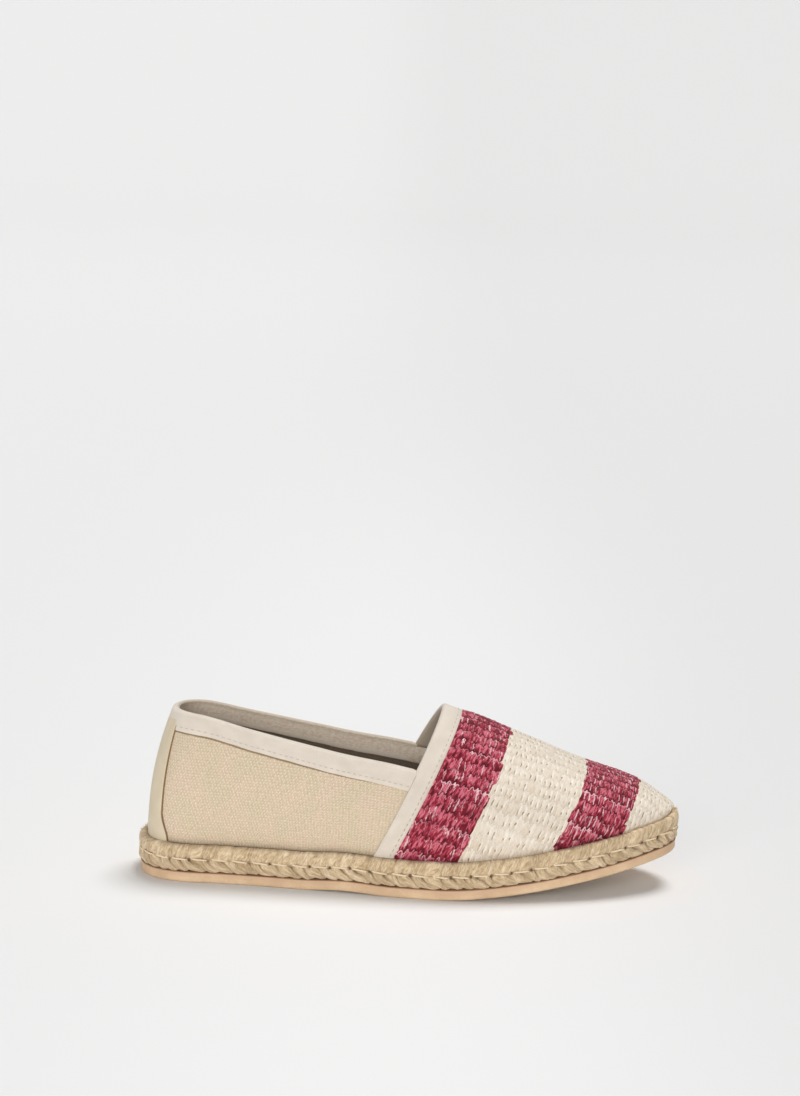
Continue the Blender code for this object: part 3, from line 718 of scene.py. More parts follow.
def creaseRelief(side, along, height):
    # each crease is a long bell: depth times exp(-(s / half length)^2 - (t / half width)^2), turned by its lean
    relief = np.zeros(np.broadcast(side, along, height).shape)
    for creaseSide, centre, level, length, width, depth, lean in quarterCreases:
        lean = math.radians(lean)
        dx, dz = along - centre, height - level
        s = (dx * math.cos(lean) + dz * math.sin(lean)) / (length / 2.0)
        t = (dz * math.cos(lean) - dx * math.sin(lean)) / (width / 2.0)
        relief = relief + np.where(side == creaseSide, depth * np.exp(-s ** 2 - t ** 2), 0.0)
    return relief


def quarterGrid(offset, columns, rows, creases=True):
    # points, and the map's two parts: distance forward of the heel, minus on the outer side, and height, both in mm
    turns, sides = quarterPath(columns)
    row = np.linspace(0.0, 1.0, rows)[:, None]
    points = ribPoint(turns[None, :], sides[None, :], row, offset)
    middle = points[rows // 2]
    along = runLength(middle) / mm
    along = np.abs(along - along[columns - 1])
    height = runLength(points.transpose(1, 0, 2)).T / mm
    if creases:
        relief = creaseRelief(sides[None, :], along[None, :], height)
        relief = relief * ease(height / 4.0) * ease((1.0 - row) * 6.0)
        points = points + gridNormals(points) * relief[..., None] * mm
    return points, (along * sides, height)


def makeQuarters(material):
    points, uv = quarterGrid(0.0, quarters["columns"], quarters["rows"])
    points[0, :, 2] -= quarters["tuck"] * mm
    # masks for painted shade near the foot and, by the distance below the top, a painted shadow under the tape
    height = uv[1]
    addGrid("quarterCanvas", points, material, "canvas", ["upper"], uv,
            {"shade": np.exp(-height / 0.9), "below": height[-1] - height})


def canvasMaterial():
    # a rough weave: pale dots where threads cross, on steep diagonals, with faint pink and green patches, a painted
    # shadow line along the tape's lower edge, and painted shade towards the foot
    material, tree = newMaterial("quarterCanvas", quarters["light"], 0.92, 0.1)
    vector, along, across = clothMap(tree)
    bend = noise(vector, (0.22, 0.22)) - 0.5
    leaning = across * quarters["lean"] + bend * 1.4 + along
    weft = across * (quarters["warpPitch"] / quarters["weftPitch"])
    dots = plainWeave(leaning, weft, quarters["warpPitch"])
    grain = noise(vector, (0.95, 0.75), 3.0, 0.65)
    patch = noise(vector, (0.085, 0.06))
    tone = dots * 0.75 + grain * 0.95
    colour = mix(between(patch, 0.36, 0.64), quarters["green"], quarters["pink"])
    colour = mix(between(tone, 0.95, 0.45, 0.0, 0.75), colour, quarters["dark"])
    colour = mix(between(tone, 0.82, 1.25, 0.0, 0.8), colour, quarters["light"])
    # a painted shadow line just below the tape's lower edge, broken by the grain, then painted shade towards the foot
    fromTape = abs(maskValue(tree, "below") - (tape["collarWidth"] + 0.55))
    rough = grain * 0.7 + fromTape
    colour = mix(between(rough, 1.35, 0.75, 0.0, 0.85), colour, quarters["seam"])
    colour = mix(maskValue(tree, "shade") * 0.55, colour, quarters["seam"])
    return finishMaterial(material, colour, grain * 0.8 + dots, 0.0003)


# Vamp: ribbons woven across the foot. Raspberry and natural stripes follow the tilted ribs, one mesh for each.
# Each row is a line of short slanted bricks that hang over the next row like teeth, with pale ticks between them.
vamp = {
    "columns": 520, "rows": 440, "step": 0.30, "ribbon": 2.75, "row": 5.0, "rowGrowth": 400.0,
    "pillow": 0.33, "groove": 0.17, "lean": -0.26, "berryLean": 0.05, "naturalLean": -0.15,
    # the stripes' ends at the spine, in mm from the heel at the foot, and how much further on they lie at the foot
    "stripes": (122.1, 150.2, 198.6, 233.6, 260.0), "slant": (0.0, 2.4, 0.0, -2.4, 0.0),
    "ragged": 1.8, "tuck": 0.5,
    # the deepest berry, the dimple and the natural shade colours are painted shade; the palest berry is partly a
    # painted sheen
    "berryShade": (0.080, 0.003, 0.009), "berryDark": (0.155, 0.006, 0.016), "berry": (0.355, 0.021, 0.046),
    "berryPinkAndSheen": (0.69, 0.170, 0.228), "floss": (0.95, 0.62, 0.65),
    "natural": (0.82, 0.715, 0.585), "naturalLight": (0.96, 0.88, 0.78), "naturalDark": (0.69, 0.58, 0.45),
    "dimple": (0.27, 0.19, 0.11), "naturalShade": (0.30, 0.215, 0.12),
}
spanShare = 1.0 / (last["length"] * math.cos(last["tilt"]))


def resample(lines, count):
    # each line of points cut again into even steps of its own length
    run = runLength(lines)
    wanted = np.linspace(0.0, 1.0, count)[None, :] * run[:, -1:]
    shift = np.arange(len(lines))[:, None] * (run.max() * 2.0 + 1.0)
    size = lines.shape[1]
    found = np.searchsorted((run + shift).ravel(), (wanted + shift).ravel(), side="right").reshape(wanted.shape) - 1
    low = np.clip(found - np.arange(len(lines))[:, None] * size, 0, size - 2)
    rows = np.arange(len(lines))[:, None]
    span = np.maximum(run[rows, low + 1] - run[rows, low], 1e-12)
    t = np.clip((wanted - run[rows, low]) / span, 0.0, 1.0)[..., None]
    return lines[rows, low] * (1.0 - t) + lines[rows, low + 1] * t, wanted


def vampGrid(offsets, turns, rows):
    # ribs as even lines from the outer foot over the spine to the inner foot, with the length from the spine
    row = np.concatenate([np.linspace(0.0, 1.0, 40)[:-1], 1.0 + np.sin(np.linspace(0.0, math.pi / 2.0, 60))])
    row = np.concatenate([row, row[::-1][1:]])
    side = np.where(np.arange(len(row)) < len(row) // 2, -1, 1)
    lines = ribPoint(turns[:, None], side[None, :], row[None, :], offsets[:, None])
    spine = runLength(lines)[:, len(row) // 2][:, None]
    points, length = resample(lines, rows)
    return points.transpose(1, 0, 2), ((length - spine) / mm).T


def weaveRow(along, across):
    # rows counted from the spine down both sides: |a| / row * (1 - |a| / growth), in slow waves
    reach = np.abs(across)
    return 0.5 + reach / vamp["row"] * (1.0 - reach / vamp["rowGrowth"]) + 0.07 * np.sin(0.5 * along)


def brickShift(along, across):
    # how far each brick hangs up or down, in rows
    return 0.10 * np.sin(1.74 * along + 0.9 * across) + 0.08 * np.sin(2.97 * along - 0.55 * across)


def wovenRelief(along, across):
    # Bricks: (1 - |2u - 1|^3)(1 - |2v - 1|^4), u across a ribbon and v down a row, each row half a ribbon on.
    # They lift towards the row's lower end. The material repeats the cells with nodes.
    rowPlace = weaveRow(along, across) + brickShift(along, across)
    row = np.floor(rowPlace)
    v = rowPlace - row
    ribbonPlace = along / vamp["ribbon"] + 0.5 * row + 0.11 * np.sin(row * 2.4)
    ribbonPlace = ribbonPlace + (vamp["lean"] + 0.12 * np.sin(row * 5.1)) * (v - 0.5)
    u = ribbonPlace - np.floor(ribbonPlace)
    chance = scatter(np.floor(ribbonPlace) + 57.0 * row, 3.0)
    brick = (1.0 - 0.8 * np.abs(2.0 * u - 1.0) ** 3) * (1.0 - 0.65 * np.abs(2.0 * v - 1.0) ** 5)
    return vamp["pillow"] * brick * (0.70 + 0.15 * v + 0.45 * chance) - vamp["groove"]


def makeVamp(berryLoose, berryNeat, natural):
    # the ribs' surface is worked out once, and each stripe reads it between its own ragged ends
    turns = evenTurns(throatTurn, math.pi, vamp["columns"])
    base, baseAcross = vampGrid(np.full(len(turns), last["vampStep"] - 0.12 * mm), turns, vamp["rows"])
    baseNormals = gridNormals(base)
    slope = math.cos(last["tilt"])
    baseAlong = (1.0 - np.cos(turns)) / 2.0 * last["length"] / mm * slope
    rows = np.arange(vamp["rows"])[:, None]

    def read(table, along):
        # the table's columns at any distance along, row by row
        place = np.interp(along, baseAlong, np.arange(len(turns)))
        low = np.clip(np.floor(place).astype(int), 0, len(turns) - 2)
        t = place - low
        t = t[..., None] if table.ndim == 3 else t
        return table[rows, low] * (1.0 - t) + table[rows, low + 1] * t

    foot = np.abs(baseAcross[:1]).max()

    def edge(number):
        # a stripe's end: level with the ribs, shifted row by row, each row's end a little rounded
        stop = vamp["stripes"][number]
        level = np.full((vamp["rows"], 1), stop * slope)
        if number in (0, len(vamp["stripes"]) - 1):
            return level
        level = level + vamp["slant"][number] * slope * np.abs(read(baseAcross, level)) / foot
        place = weaveRow(level, read(baseAcross, level))
        row, v = np.floor(place), place - np.floor(place)
        shift = vamp["ragged"] * (scatter(row, stop) - 0.5)
        before = vamp["ragged"] * (scatter(row - 1, stop) - 0.5)
        shift = before + (shift - before) * ease(v / 0.22)
        return level + shift - 0.35 * np.abs(2.0 * v - 1.0) ** 3

    front = turnAt(last["throat"] + (tape["vampWidth"] - 0.7) * mm * spanShare)
    underTape = vampGrid(np.array([0.1 * mm]), np.array([front]), vamp["rows"])[0][:, 0]
    names = (("vampBerryThroat", berryLoose, "woven_raspberry"), ("vampNaturalMiddle", natural, "woven_natural"),
             ("vampBerryToe", berryNeat, "woven_raspberry"), ("vampNaturalToe", natural, "woven_natural"))
    for place, (name, material, slot) in enumerate(names):
        start, stop = vamp["stripes"][place], vamp["stripes"][place + 1]
        t = np.linspace(0.0, 1.0, int((stop - start) * slope / vamp["step"]))[None, :]
        along = edge(place) * (1.0 - t) + edge(place + 1) * t
        across, points, normals = read(baseAcross, along), read(base, along), read(baseNormals, along)
        fade = ease((vamp["stripes"][-1] * slope - along) / 2.2)
        fade = fade * ease((across - across[:1]) / 1.5) * ease((across[-1:] - across) / 1.5)
        fade = fade * ease((along - vamp["stripes"][0] * slope) / 0.8)
        points = points + normals * (wovenRelief(along, across) * fade)[..., None] * mm
        if place == 0:
            points = np.concatenate([underTape[:, None], points], axis=1)
            along = np.concatenate([along[:, :1], along], axis=1)
            across = np.concatenate([across[:, :1], across], axis=1)
        points[[0, -1], :, 2] -= vamp["tuck"] * mm
        # a mask for painted shade along both feet of the stripe
        shade = np.exp(-(across - across[:1]) / 1.0) + np.exp(-(across[-1:] - across) / 1.0)
        addGrid(name, points, material, slot, ["upper"], (along, across), {"shade": shade})


def weaveNodes(tree, bend, lean):
    # the relief's cells again, as sockets by name, with a little noise that bends them
    vector, along, across = clothMap(tree)
    reach = abs(across)
    grow = reach * (-1.0 / vamp["row"] / vamp["rowGrowth"]) + 1.0 / vamp["row"]
    wave = calc("SINE", along * 0.5) * 0.07 + 0.5
    rowPlace = reach * grow + wave
    for size, first, second in ((0.10, 1.74, 0.9), (0.08, 2.97, -0.55)):
        turned = across * second + along * first
        rowPlace = calc("SINE", turned) * size + rowPlace
    row = calc("FLOOR", rowPlace)
    v = calc("FRACT", rowPlace)
    slant = calc("SINE", row * 5.1) * 0.12 + vamp["lean"]
    place = row * 0.5 + along / vamp["ribbon"]
    place = calc("SINE", row * 2.4) * 0.11 + place
    place = slant * (v - 0.5) + place
    wobble = noise(vector, (0.6, 0.6)) - 0.5
    place = wobble * bend + place
    joint = calc("FLOOR", place + 0.5)
    bent = noise(vector, (0.35, 0.35)) - 0.5
    return {
        "vector": vector, "row": row, "u": calc("FRACT", place),
        "bentV": bent * 0.25 + v,
        "fromJoint": abs(calc("FRACT", place + 0.5) - 0.5),
        "cell": cellRandom(calc("FLOOR", place), row),
        "joint": cellRandom(joint + 61.0, row),
        "leaning": joined(reach * lean + along, across),
        "lower": between(reach, 22.0, 36.0),
    }


def berryMaterial(name, neat):
    # Bricks in three tones of raspberry with streaks along their fibres, the palest pink partly a painted sheen, and
    # painted lighter at a row's upper end, as light from above. Floss ticks stand at the joints, a broken pale line
    # runs along the rows' upper ends, and dark wedges of painted shade part the lower ends.
    material, tree = newMaterial(name, vamp["berry"], 0.7, 0.06, 0.2)
    part = weaveNodes(tree, 0.3 if neat else 0.6, vamp["berryLean"])
    bentV, fromJoint = part["bentV"], part["fromJoint"]
    cell, cellTwo, cellThree = part["cell"]
    chance, width, shine = part["joint"]
    stroke = noise(part["leaning"], (0.85, 0.22))
    streak = noise(part["leaning"], (2.2, 0.34), 3.0, 0.62)
    hair = noise(part["leaning"], (5.5, 0.9), 2.0, 0.6)
    patch = noise(part["vector"], (0.14, 0.14))
    tone = (stroke - 0.5) * 2.3 + (0.53 if neat else 0.54)
    # the share of bentV paints each row lighter at its upper end, as light from above
    for value, middle, share in ((streak, 0.5, 2.1), (cell, 0.5, 0.34), (hair, 0.5, 0.7), (bentV, 0.45, -0.36),
                                 (patch, 0.5, 0.3 if neat else 1.0)):
        tone = (value - middle) * share + tone
    colour = mix(between(tone, 0.12, 0.52), vamp["berryDark"], vamp["berry"])
    colour = mix(between(tone, 0.50, 0.95), colour, vamp["berryPinkAndSheen"])
    # painted shade in wedges between the lower ends of the bricks, wider further down, and along the rows' lower ends
    wedge = bentV * -0.50 + fromJoint + 0.25
    deep = between(wedge, 0.05, -0.06) * between(cellTwo, 0.15, 0.45)
    deep = calc("MAXIMUM", deep, between(bentV, 0.86, 1.0) * between(cellThree, 0.3, 0.6))
    colour = mix(deep * 0.85, colour, vamp["berryShade"])
    half = width * 0.10 + 0.07
    tick = between(fromJoint, half, half * 0.5)
    tick = tick * between(bentV + cellTwo * 0.3, 0.98, 0.80)
    wanted = part["lower"] * 0.30 + 0.08 if neat else part["lower"] * 0.05 + 0.40
    tick = tick * between(chance, wanted, wanted + 0.15)
    line = between(abs(bentV - 0.04), 0.10, 0.03)
    rowChance = cellRandom(part["row"], 5.0)[0]
    line = line * between(rowChance * 0.34 + hair, 0.62, 0.80)
    stray = noise(part["leaning"], (1.5, 0.30), 1.0)
    stray = between(stray, 0.62, 0.70) * between(bentV, 0.75, 0.35)
    line = calc("MAXIMUM", line, stray)
    floss = calc("MAXIMUM", tick * between(hair, 0.25, 0.6, 0.55, 1.0), line)
    pale = mix(between(shine, 0.1, 0.8), vamp["berryPinkAndSheen"], vamp["floss"])
    colour = mix(floss, colour, pale)
    # painted shade along both feet of the stripe, where it meets the plait
    colour = mix(maskValue(tree, "shade") * 0.6, colour, vamp["berryShade"])
    height = hair * 0.4 + (streak * 0.9 + floss * 0.5) - deep * 0.8
    return finishMaterial(material, colour, height, 0.00028, 0.9)


def naturalMaterial():
    # warm white ribbons: pale floats beside slanted dimples painted dark as shade at the joints, bands of tone from
    # row to row, and painted light: lighter at a row's upper end, darker at its lower end and at the foot
    material, tree = newMaterial("ribbonNatural", vamp["natural"], 0.8, 0.2)
    part = weaveNodes(tree, 0.5, vamp["naturalLean"])
    bentV, fromJoint = part["bentV"], part["fromJoint"]
    cell = part["cell"][0]
    chance, width, weight = part["joint"]
    rowTone = cellRandom(part["row"], 3.0)[0]
    streak = noise(part["leaning"], (1.9, 0.36), 3.0, 0.6)
    hair = noise(part["leaning"], (5.0, 1.0), 2.0, 0.6)
    tone = 0.5
    # the share of bentV paints each row lighter at its upper end, as light from above
    for value, share in ((streak, 1.3), (cell, 0.25), (rowTone, 0.25), (hair, 0.4), (bentV, -0.30)):
        tone = (value - 0.5) * share + tone
    colour = mix(between(tone, 0.15, 0.60), vamp["naturalDark"], vamp["natural"])
    colour = mix(between(tone, 0.62, 0.95), colour, vamp["naturalLight"])
    side = abs(part["u"] - 0.27)
    ends = between(abs(bentV - 0.5), 0.40, 0.20)
    floatsAndHighlight = between(side, 0.17, 0.08) * ends * between(chance, 0.15, 0.6)
    # a painted highlight along each row's upper end
    floatsAndHighlight = calc("MAXIMUM", floatsAndHighlight, between(bentV, 0.22, 0.06) * between(hair, 0.4, 0.6))
    colour = mix(floatsAndHighlight * 0.8, colour, vamp["naturalLight"])
    # dimples: painted shade in the hollows at the joints
    half = width * 0.06 + 0.10
    dimple = between(fromJoint, half, half * 0.4)
    dimple = dimple * between(abs(bentV - 0.62), 0.21, 0.09)
    dimple = dimple * between(chance, 0.10, 0.40) * (weight * 0.6 + 0.40)
    colour = mix(dimple, colour, vamp["dimple"])
    # painted shade along each row's lower end
    line = between(bentV, 0.86, 1.0) * between(hair, 0.4, 0.65, 0.0, 0.2)
    colour = mix(line, colour, vamp["dimple"])
    # painted shade along both feet of the stripe
    colour = mix(maskValue(tree, "shade") * 0.3, colour, vamp["naturalShade"])
    height = hair * 0.35 + (streak * 0.8 + floatsAndHighlight * 0.3) - dimple * 0.8
    return finishMaterial(material, colour, height, 0.00024, 0.9)


# Lining: the inner face of quarters and vamp, its greige painted darker in part as the shade deep inside the shoe
lining = {
    "light": (0.24, 0.18, 0.13), "dark": (0.14, 0.10, 0.07), "thread": 0.8,
    "quarter": (90, 30), "vamp": (80, 121),  # columns and rows
}


def makeLining(material):
    points, uv = quarterGrid(-last["wall"], *lining["quarter"], False)
    addGrid("quarterLining", points, material, "insole_lining", ["upper"], uv, flip=True)
    columns, rows = lining["vamp"]
    turns = evenTurns(throatTurn, math.pi, columns)
    points, across = vampGrid(np.full(columns, -last["wall"]), turns, rows)
    along = (1.0 - np.cos(turns)) / 2.0 * last["length"] / mm
    addGrid("vampLining", points, material, "insole_lining", ["upper"], (along, across), flip=True)


# Tapes: folded over the edges, both legs sewn through
def foldArc():
    # half an ellipse over the edge, as offset and lift in mm
    angle = np.linspace(0.0, math.pi, 11)
    return (outside + wall / 2.0) * np.cos(angle) - wall / 2.0, tape["fold"] * np.sin(angle)


def innerLeg():
    # the inner leg from its cut edge up, as (offset, lift) in mm
    deep = -tape["insideWidth"]
    return np.array([(-wall - 0.08, deep), (-wall - 0.4, deep), (-wall - 0.75, deep + 0.5),
                     (-wall - 0.95, deep * 0.6), (-wall - outside, -2.0)])


def collarProfile():
    # Cross-section as (offset, lift) in mm: up the outer leg, a half ellipse over the edge, down the inner leg,
    # and back along the cloth. The outer leg's edge is pressed down to the canvas.
    low = -tape["collarWidth"]
    up = np.array([(0.12, low), (0.38, low + 0.03), (tape["press"], low + 0.35), (tape["press"] + 0.12, low + 1.6),
                   (0.95, low * 0.55), (outside - 0.05, low * 0.25)])
    over = np.stack(foldArc(), axis=-1)
    back = np.array([(-wall - 0.08, -0.2), (-wall / 2.0, 0.15), (0.08, -0.2)])
    return np.concatenate([up, over, innerLeg()[::-1], back])


def makeCollarTape(material):
    turns, sides = quarterPath(150, 0.3 * mm)
    profile = collarProfile()
    out, rise = profile[:, :1], profile[:, 1:]
    along = runLength(ribPoint(turns, sides, 1.0)) / mm
    tuck = 0.55 + 0.45 * ease(np.minimum(along, along[-1] - along) / 3.0)
    ripple = 0.05 * np.sin(along / 2.1) + 0.04 * np.sin(along / 5.3 + 1.0)
    lift = np.where(rise > 0.0, rise * tuck, rise + np.where(rise < 0.0, ripple, 0.0))
    points = ribPoint(turns, sides, 1.0, out * mm, lift * mm)
    around = runLength(profile)[:, None]
    # masks: painted shadow at both cut edges and painted shade on the fold's inner top, the inner leg painted paler
    # as light, and a painted highlight low on it
    edge = np.clip(1.0 - np.minimum(around, np.abs(around - around[-5])) / tape["rim"], 0.0, 1.0)
    inside = ease((-wall - out) / 0.8)
    rim = ease((-wall / 2.0 - out) / 0.9) * ease((rise + 2.2) / 1.2)
    addGrid("collarTape", closeEnds(points), material, "cotton_tape", ["collar_binding"], (endsTwice(along), around),
            {"edge": np.maximum(edge, 0.75 * rim), "inside": inside, "ridgeHighlight": ease((-5.8 - rise) / 1.8) * inside},
            70.0, wrapRows=True)


def makeTapeEnds(material):
    # past the throat the collar tape's inner leg runs on along the lining, under the vamp
    profile = np.concatenate([innerLeg(), [(-wall - outside + 0.2, -0.5), (-wall - 0.08, -0.4)]])
    turns = np.linspace(turnAt(last["throat"] - 0.6 * mm / last["length"]),
                        turnAt(last["throat"] + tape["runOn"] * mm / last["length"]), tape["ends"])
    for side, name in ((-1, "tapeEndOuter"), (1, "tapeEndInner")):
        points = ribPoint(turns[None, :], side, 1.0, profile[:, 0, None] * mm, profile[:, 1, None] * mm)
        along = np.concatenate([[0.0], runLength(points[3]) / mm, [tape["runOn"]]])
        # the ends are painted paler all over, as the light on the inner leg
        addGrid(name, closeEnds(points), material, "cotton_tape", ["collar_binding"],
                (along, runLength(profile)[:, None]), {"edge": 0.0, "inside": 1.0}, 70.0,
                wrapRows=True, flip=side < 0)


def vampPath(count):
    # side and row across the throat, at even steps from the outer foot over the spine to the inner foot
    row = np.linspace(0.0, 2.0, 400)
    run = runLength(ribPoint(throatTurn, -1, row))
    rows = np.interp(np.linspace(0.0, run[-1], count), run, row)
    rows = np.concatenate([rows, rows[::-1][1:]])
    return rows, np.where(np.arange(len(rows)) < count, -1, 1)


def makeVampTape(material):
    # The same fold, carried across the throat. Below the collar there is only the outer leg: there the fold's
    # points close onto the quarter.
    rows, sides = vampPath(110)
    front = tape["vampWidth"]
    # along the foot in mm ahead of the throat, offset, and how far behind the rib
    leg = np.array([(front, 0.10, 0.0), (front, 0.45, 0.0), (front - 0.25, 0.85, 0.0), (front - 1.2, 1.0, 0.0),
                    (front * 0.6, 1.08, 0.0), (front * 0.3, outside, 0.0), (0.6, outside, 0.0)])
    out, up = foldArc()
    fold = np.stack([out * 0.0, out, up], axis=-1)
    inner = innerLeg()[::-1]
    tuck = np.concatenate([np.stack([-inner[:, 1], inner[:, 0], inner[:, 0] * 0.0], axis=-1),
                           [(0.3, -wall - 0.08, 0.0), (0.05, -wall / 2.0, 0.1), (0.3, 0.08, 0.0)]])
    free = np.concatenate([leg, fold, tuck])
    closed = free.copy()
    closed[:len(leg), 1] *= 0.92
    ring = np.linspace(0.0, math.pi / 2.0, len(fold))
    shut = [0.25 - 0.55 * np.sin(ring) ** 0.5, 1.05 * np.cos(ring) + 0.04, ring * 0.0]
    closed[len(leg):len(leg) + len(fold)] = np.stack(shut, axis=-1)
    closed[len(leg) + len(fold):] = (0.6, 0.05, 0.0)
    opened = ease((rows - 0.965) / 0.05)[None, :, None]
    shape = free[:, None, :] * opened + closed[:, None, :] * (1.0 - opened)
    turns = np.arccos(1.0 - 2.0 * (last["throat"] + shape[..., 0] * mm * spanShare))
    points = ribPoint(turns, sides[None, :], rows[None, :], shape[..., 1] * mm, 0.0, shape[..., 2] * mm)
    points[:, [0, -1], 2] -= 0.0003
    along = endsTwice(runLength(ribPoint(throatTurn, sides, rows)) / mm)
    around = runLength(free)[:, None]
    # painted shadow along the outer leg's cut edge, and painted shade over the part tucked inside the throat
    edge = np.maximum(np.clip(1.0 - around / tape["rim"], 0.0, 1.0), ease((-wall / 2.0 - free[:, 1:2]) / 1.2))
    addGrid("vampTape", closeEnds(points, len(leg)), material, "cotton_tape", ["vamp_binding"], (along, around),
            {"edge": edge, "inside": 0.0}, 70.0, wrapRows=True)


def tapeMaterial():
    # herringbone cotton tape: fine slanted threads that turn back every 2 mm, faint patches, a painted shadow line
    # along the cut edges and painted shade inside the fold, and an inner leg painted paler, as light, mottled in
    # places and with a painted highlight low down
    material, tree = newMaterial("cottonTape", tape["light"], 0.85, 0.15)
    vector, along, across = clothMap(tree)
    zigzag = calc("PINGPONG", across, 2.0)
    twill = threadWave(along + zigzag, 0.7)
    fine = noise(vector, (2.2, 2.2), 3.0, 0.6)
    patch = noise(vector, (0.12, 0.2))
    tone = twill * 0.2 + fine * 0.4
    tone = patch * 0.5 + tone
    colour = mix(between(tone, 0.30, 0.80), tape["dark"], tape["light"])
    # the inner leg is painted paler, as light on the shaded inside: a mottle, plus a painted highlight along its
    # lower ridge
    mottleAndRidgeHighlight = noise(vector, (0.5, 0.9), 3.0, 0.65)
    mottleAndRidgeHighlight = maskValue(tree, "ridgeHighlight") * 0.3 + mottleAndRidgeHighlight - 0.06
    litInside = mix(between(mottleAndRidgeHighlight, 0.30, 0.58), tape["litInsideDark"], tape["litInside"])
    colour = mix(maskValue(tree, "inside"), colour, litInside)
    # painted shadow along the cut edges and painted shade inside the fold
    colour = mix(maskValue(tree, "edge") * 0.6, colour, tape["edgeColour"])
    return finishMaterial(material, colour, twill + fine * 1.2, 0.00007, 0.8)


def tapeStitches(name, surface, length, material, seed):
    # small stitches laid along a line of the tape: surface(distance, rise) gives points above the tape
    count = int(length / tape["stitchPitch"])
    number = np.arange(count)
    t = np.linspace(-1.0, 1.0, 7)
    centre = (number + 0.5 + 0.12 * (scatter(number, seed) - 0.5))[:, None] * length / count
    distance = centre + tape["stitch"] / 2.0 * t
    paths = surface(distance, 0.10 - 0.28 * np.abs(t) ** 3)
    outward = surface(distance, 1.0) - surface(distance, 0.0)
    points, faces, uv = threadRuns(paths, outward, tape["threadRadius"] * mm, 6, tape["threadFlat"])
    addPiece(name, points, faces, material, (), uv)


def makeTapeStitches(material, insideMaterial):
    turns, sides = quarterPath(400, 0.3 * mm)
    collar = runLength(ribPoint(turns, sides, 1.0)) / mm

    def onCollar(offset, lift):
        def surface(distance, rise):
            signed = np.interp(distance, collar, turns * sides)  # a turn with its side's sign, 0 at the heel
            side = np.where(signed < 0.0, -1, 1)
            return ribPoint(np.abs(signed), side, 1.0, (offset + np.sign(offset) * rise) * mm, lift * mm)
        return surface

    tapeStitches("collarStitches", onCollar(tape["press"] + 0.16, tape["seam"]), collar[-1], material, 1.0)
    # the inner leg's stitches are in a thread painted paler, as light inside the shoe
    tapeStitches("collarStitchesInside", onCollar(-wall - 0.86, tape["insideSeam"]), collar[-1], insideMaterial, 2.0)
    rows, vampSides = vampPath(400)
    across = runLength(ribPoint(throatTurn, vampSides, rows)) / mm
    signed = np.where(vampSides < 0, rows, 4.0 - rows)

    def onVamp(distance, rise):
        place = np.interp(distance, across, signed)
        side = np.where(place < 2.0, -1, 1)
        turn = turnAt(last["throat"] + (tape["vampWidth"] - tape["vampSeam"]) * mm * spanShare)
        return ribPoint(turn, side, np.where(place < 2.0, place, 4.0 - place), (1.03 + rise) * mm)

    tapeStitches("vampTapeStitches", onVamp, across[-1], material, 3.0)


# Backstay: a smooth twill patch up the heel, its raw edges sealed brown
backstay = {
    "reach": 0.034, "flare": 0.20, "lift": 1.05, "columns": 61, "rows": 60,
    "turnLength": 60.0, "height": 62.0, "rim": 0.75,  # mm a radian of turn, mm from foot to top, mm of dark edge
    "light": (0.77, 0.662, 0.485), "dark": (0.69, 0.578, 0.408), "edgeColour": (0.235, 0.13, 0.05),
}


def makeBackstay(material):
    # a patch of the heel's ribs, as wide as the reach, wider at the foot, with a rounded rim down to the canvas
    top = 1.0 - 0.4 * tape["collarWidth"] * mm / last["heelHeight"]
    row = np.linspace(0.0, top, backstay["rows"])[:, None]
    reach = turnAt(backstay["reach"]) * (1.0 + backstay["flare"] * (1.0 - ease(row / 0.22)))
    t = np.linspace(-1.0, 1.0, backstay["columns"])
    t = np.concatenate([[-1.0, -1.0], t[1:-1], [1.0, 1.0]])[None, :]
    rim = np.array([0.05, 0.6] + [backstay["lift"]] * (t.shape[1] - 4) + [0.6, 0.05])[None, :]
    signed = -t * reach + 0.0 * row
    points = ribPoint(np.abs(signed), np.where(signed < 0.0, -1, 1), row, rim * mm)
    points[0, :, 2] -= 0.0004
    uv = (signed * backstay["turnLength"], row * backstay["height"])
    edge = np.clip(1.0 - (1.0 - np.abs(t)) * reach * backstay["turnLength"] / backstay["rim"], 0.0, 1.0)
    addGrid("backstayPatch", points, material, "heel_twill", ["backstay"], uv, {"edge": edge}, 70.0)


def backstayMaterial():
    material, tree = newMaterial("heelTwill", backstay["light"], 0.75, 0.1)
    vector, along, across = clothMap(tree)
    twill = threadWave(along + across, 0.45)
    fine = noise(vector, (1.6, 1.6), 3.0, 0.6)
    patch = noise(vector, (0.1, 0.1))
    tone = fine * 0.5 + patch * 0.5
    colour = mix(between(tone, 0.3, 0.7), backstay["dark"], backstay["light"])
    colour = mix(between(maskValue(tree, "edge"), 0.15, 0.75, 0.0, 0.95), colour, backstay["edgeColour"])
    return finishMaterial(material, colour, twill + fine, 0.00005, 0.7)


def threadMaterial(name, light, dark):
    # two plies: slanted dark grooves along the thread
    material, tree = newMaterial(name, light, 0.7, 0.1)
    along, around = clothMap(tree)[1:]
    ply = threadWave(along * 1.6 + around, 1.0)
    colour = mix(between(ply, 0.0, 0.6), dark, light)
    return finishMaterial(material, colour, ply, 0.00008, 0.8)


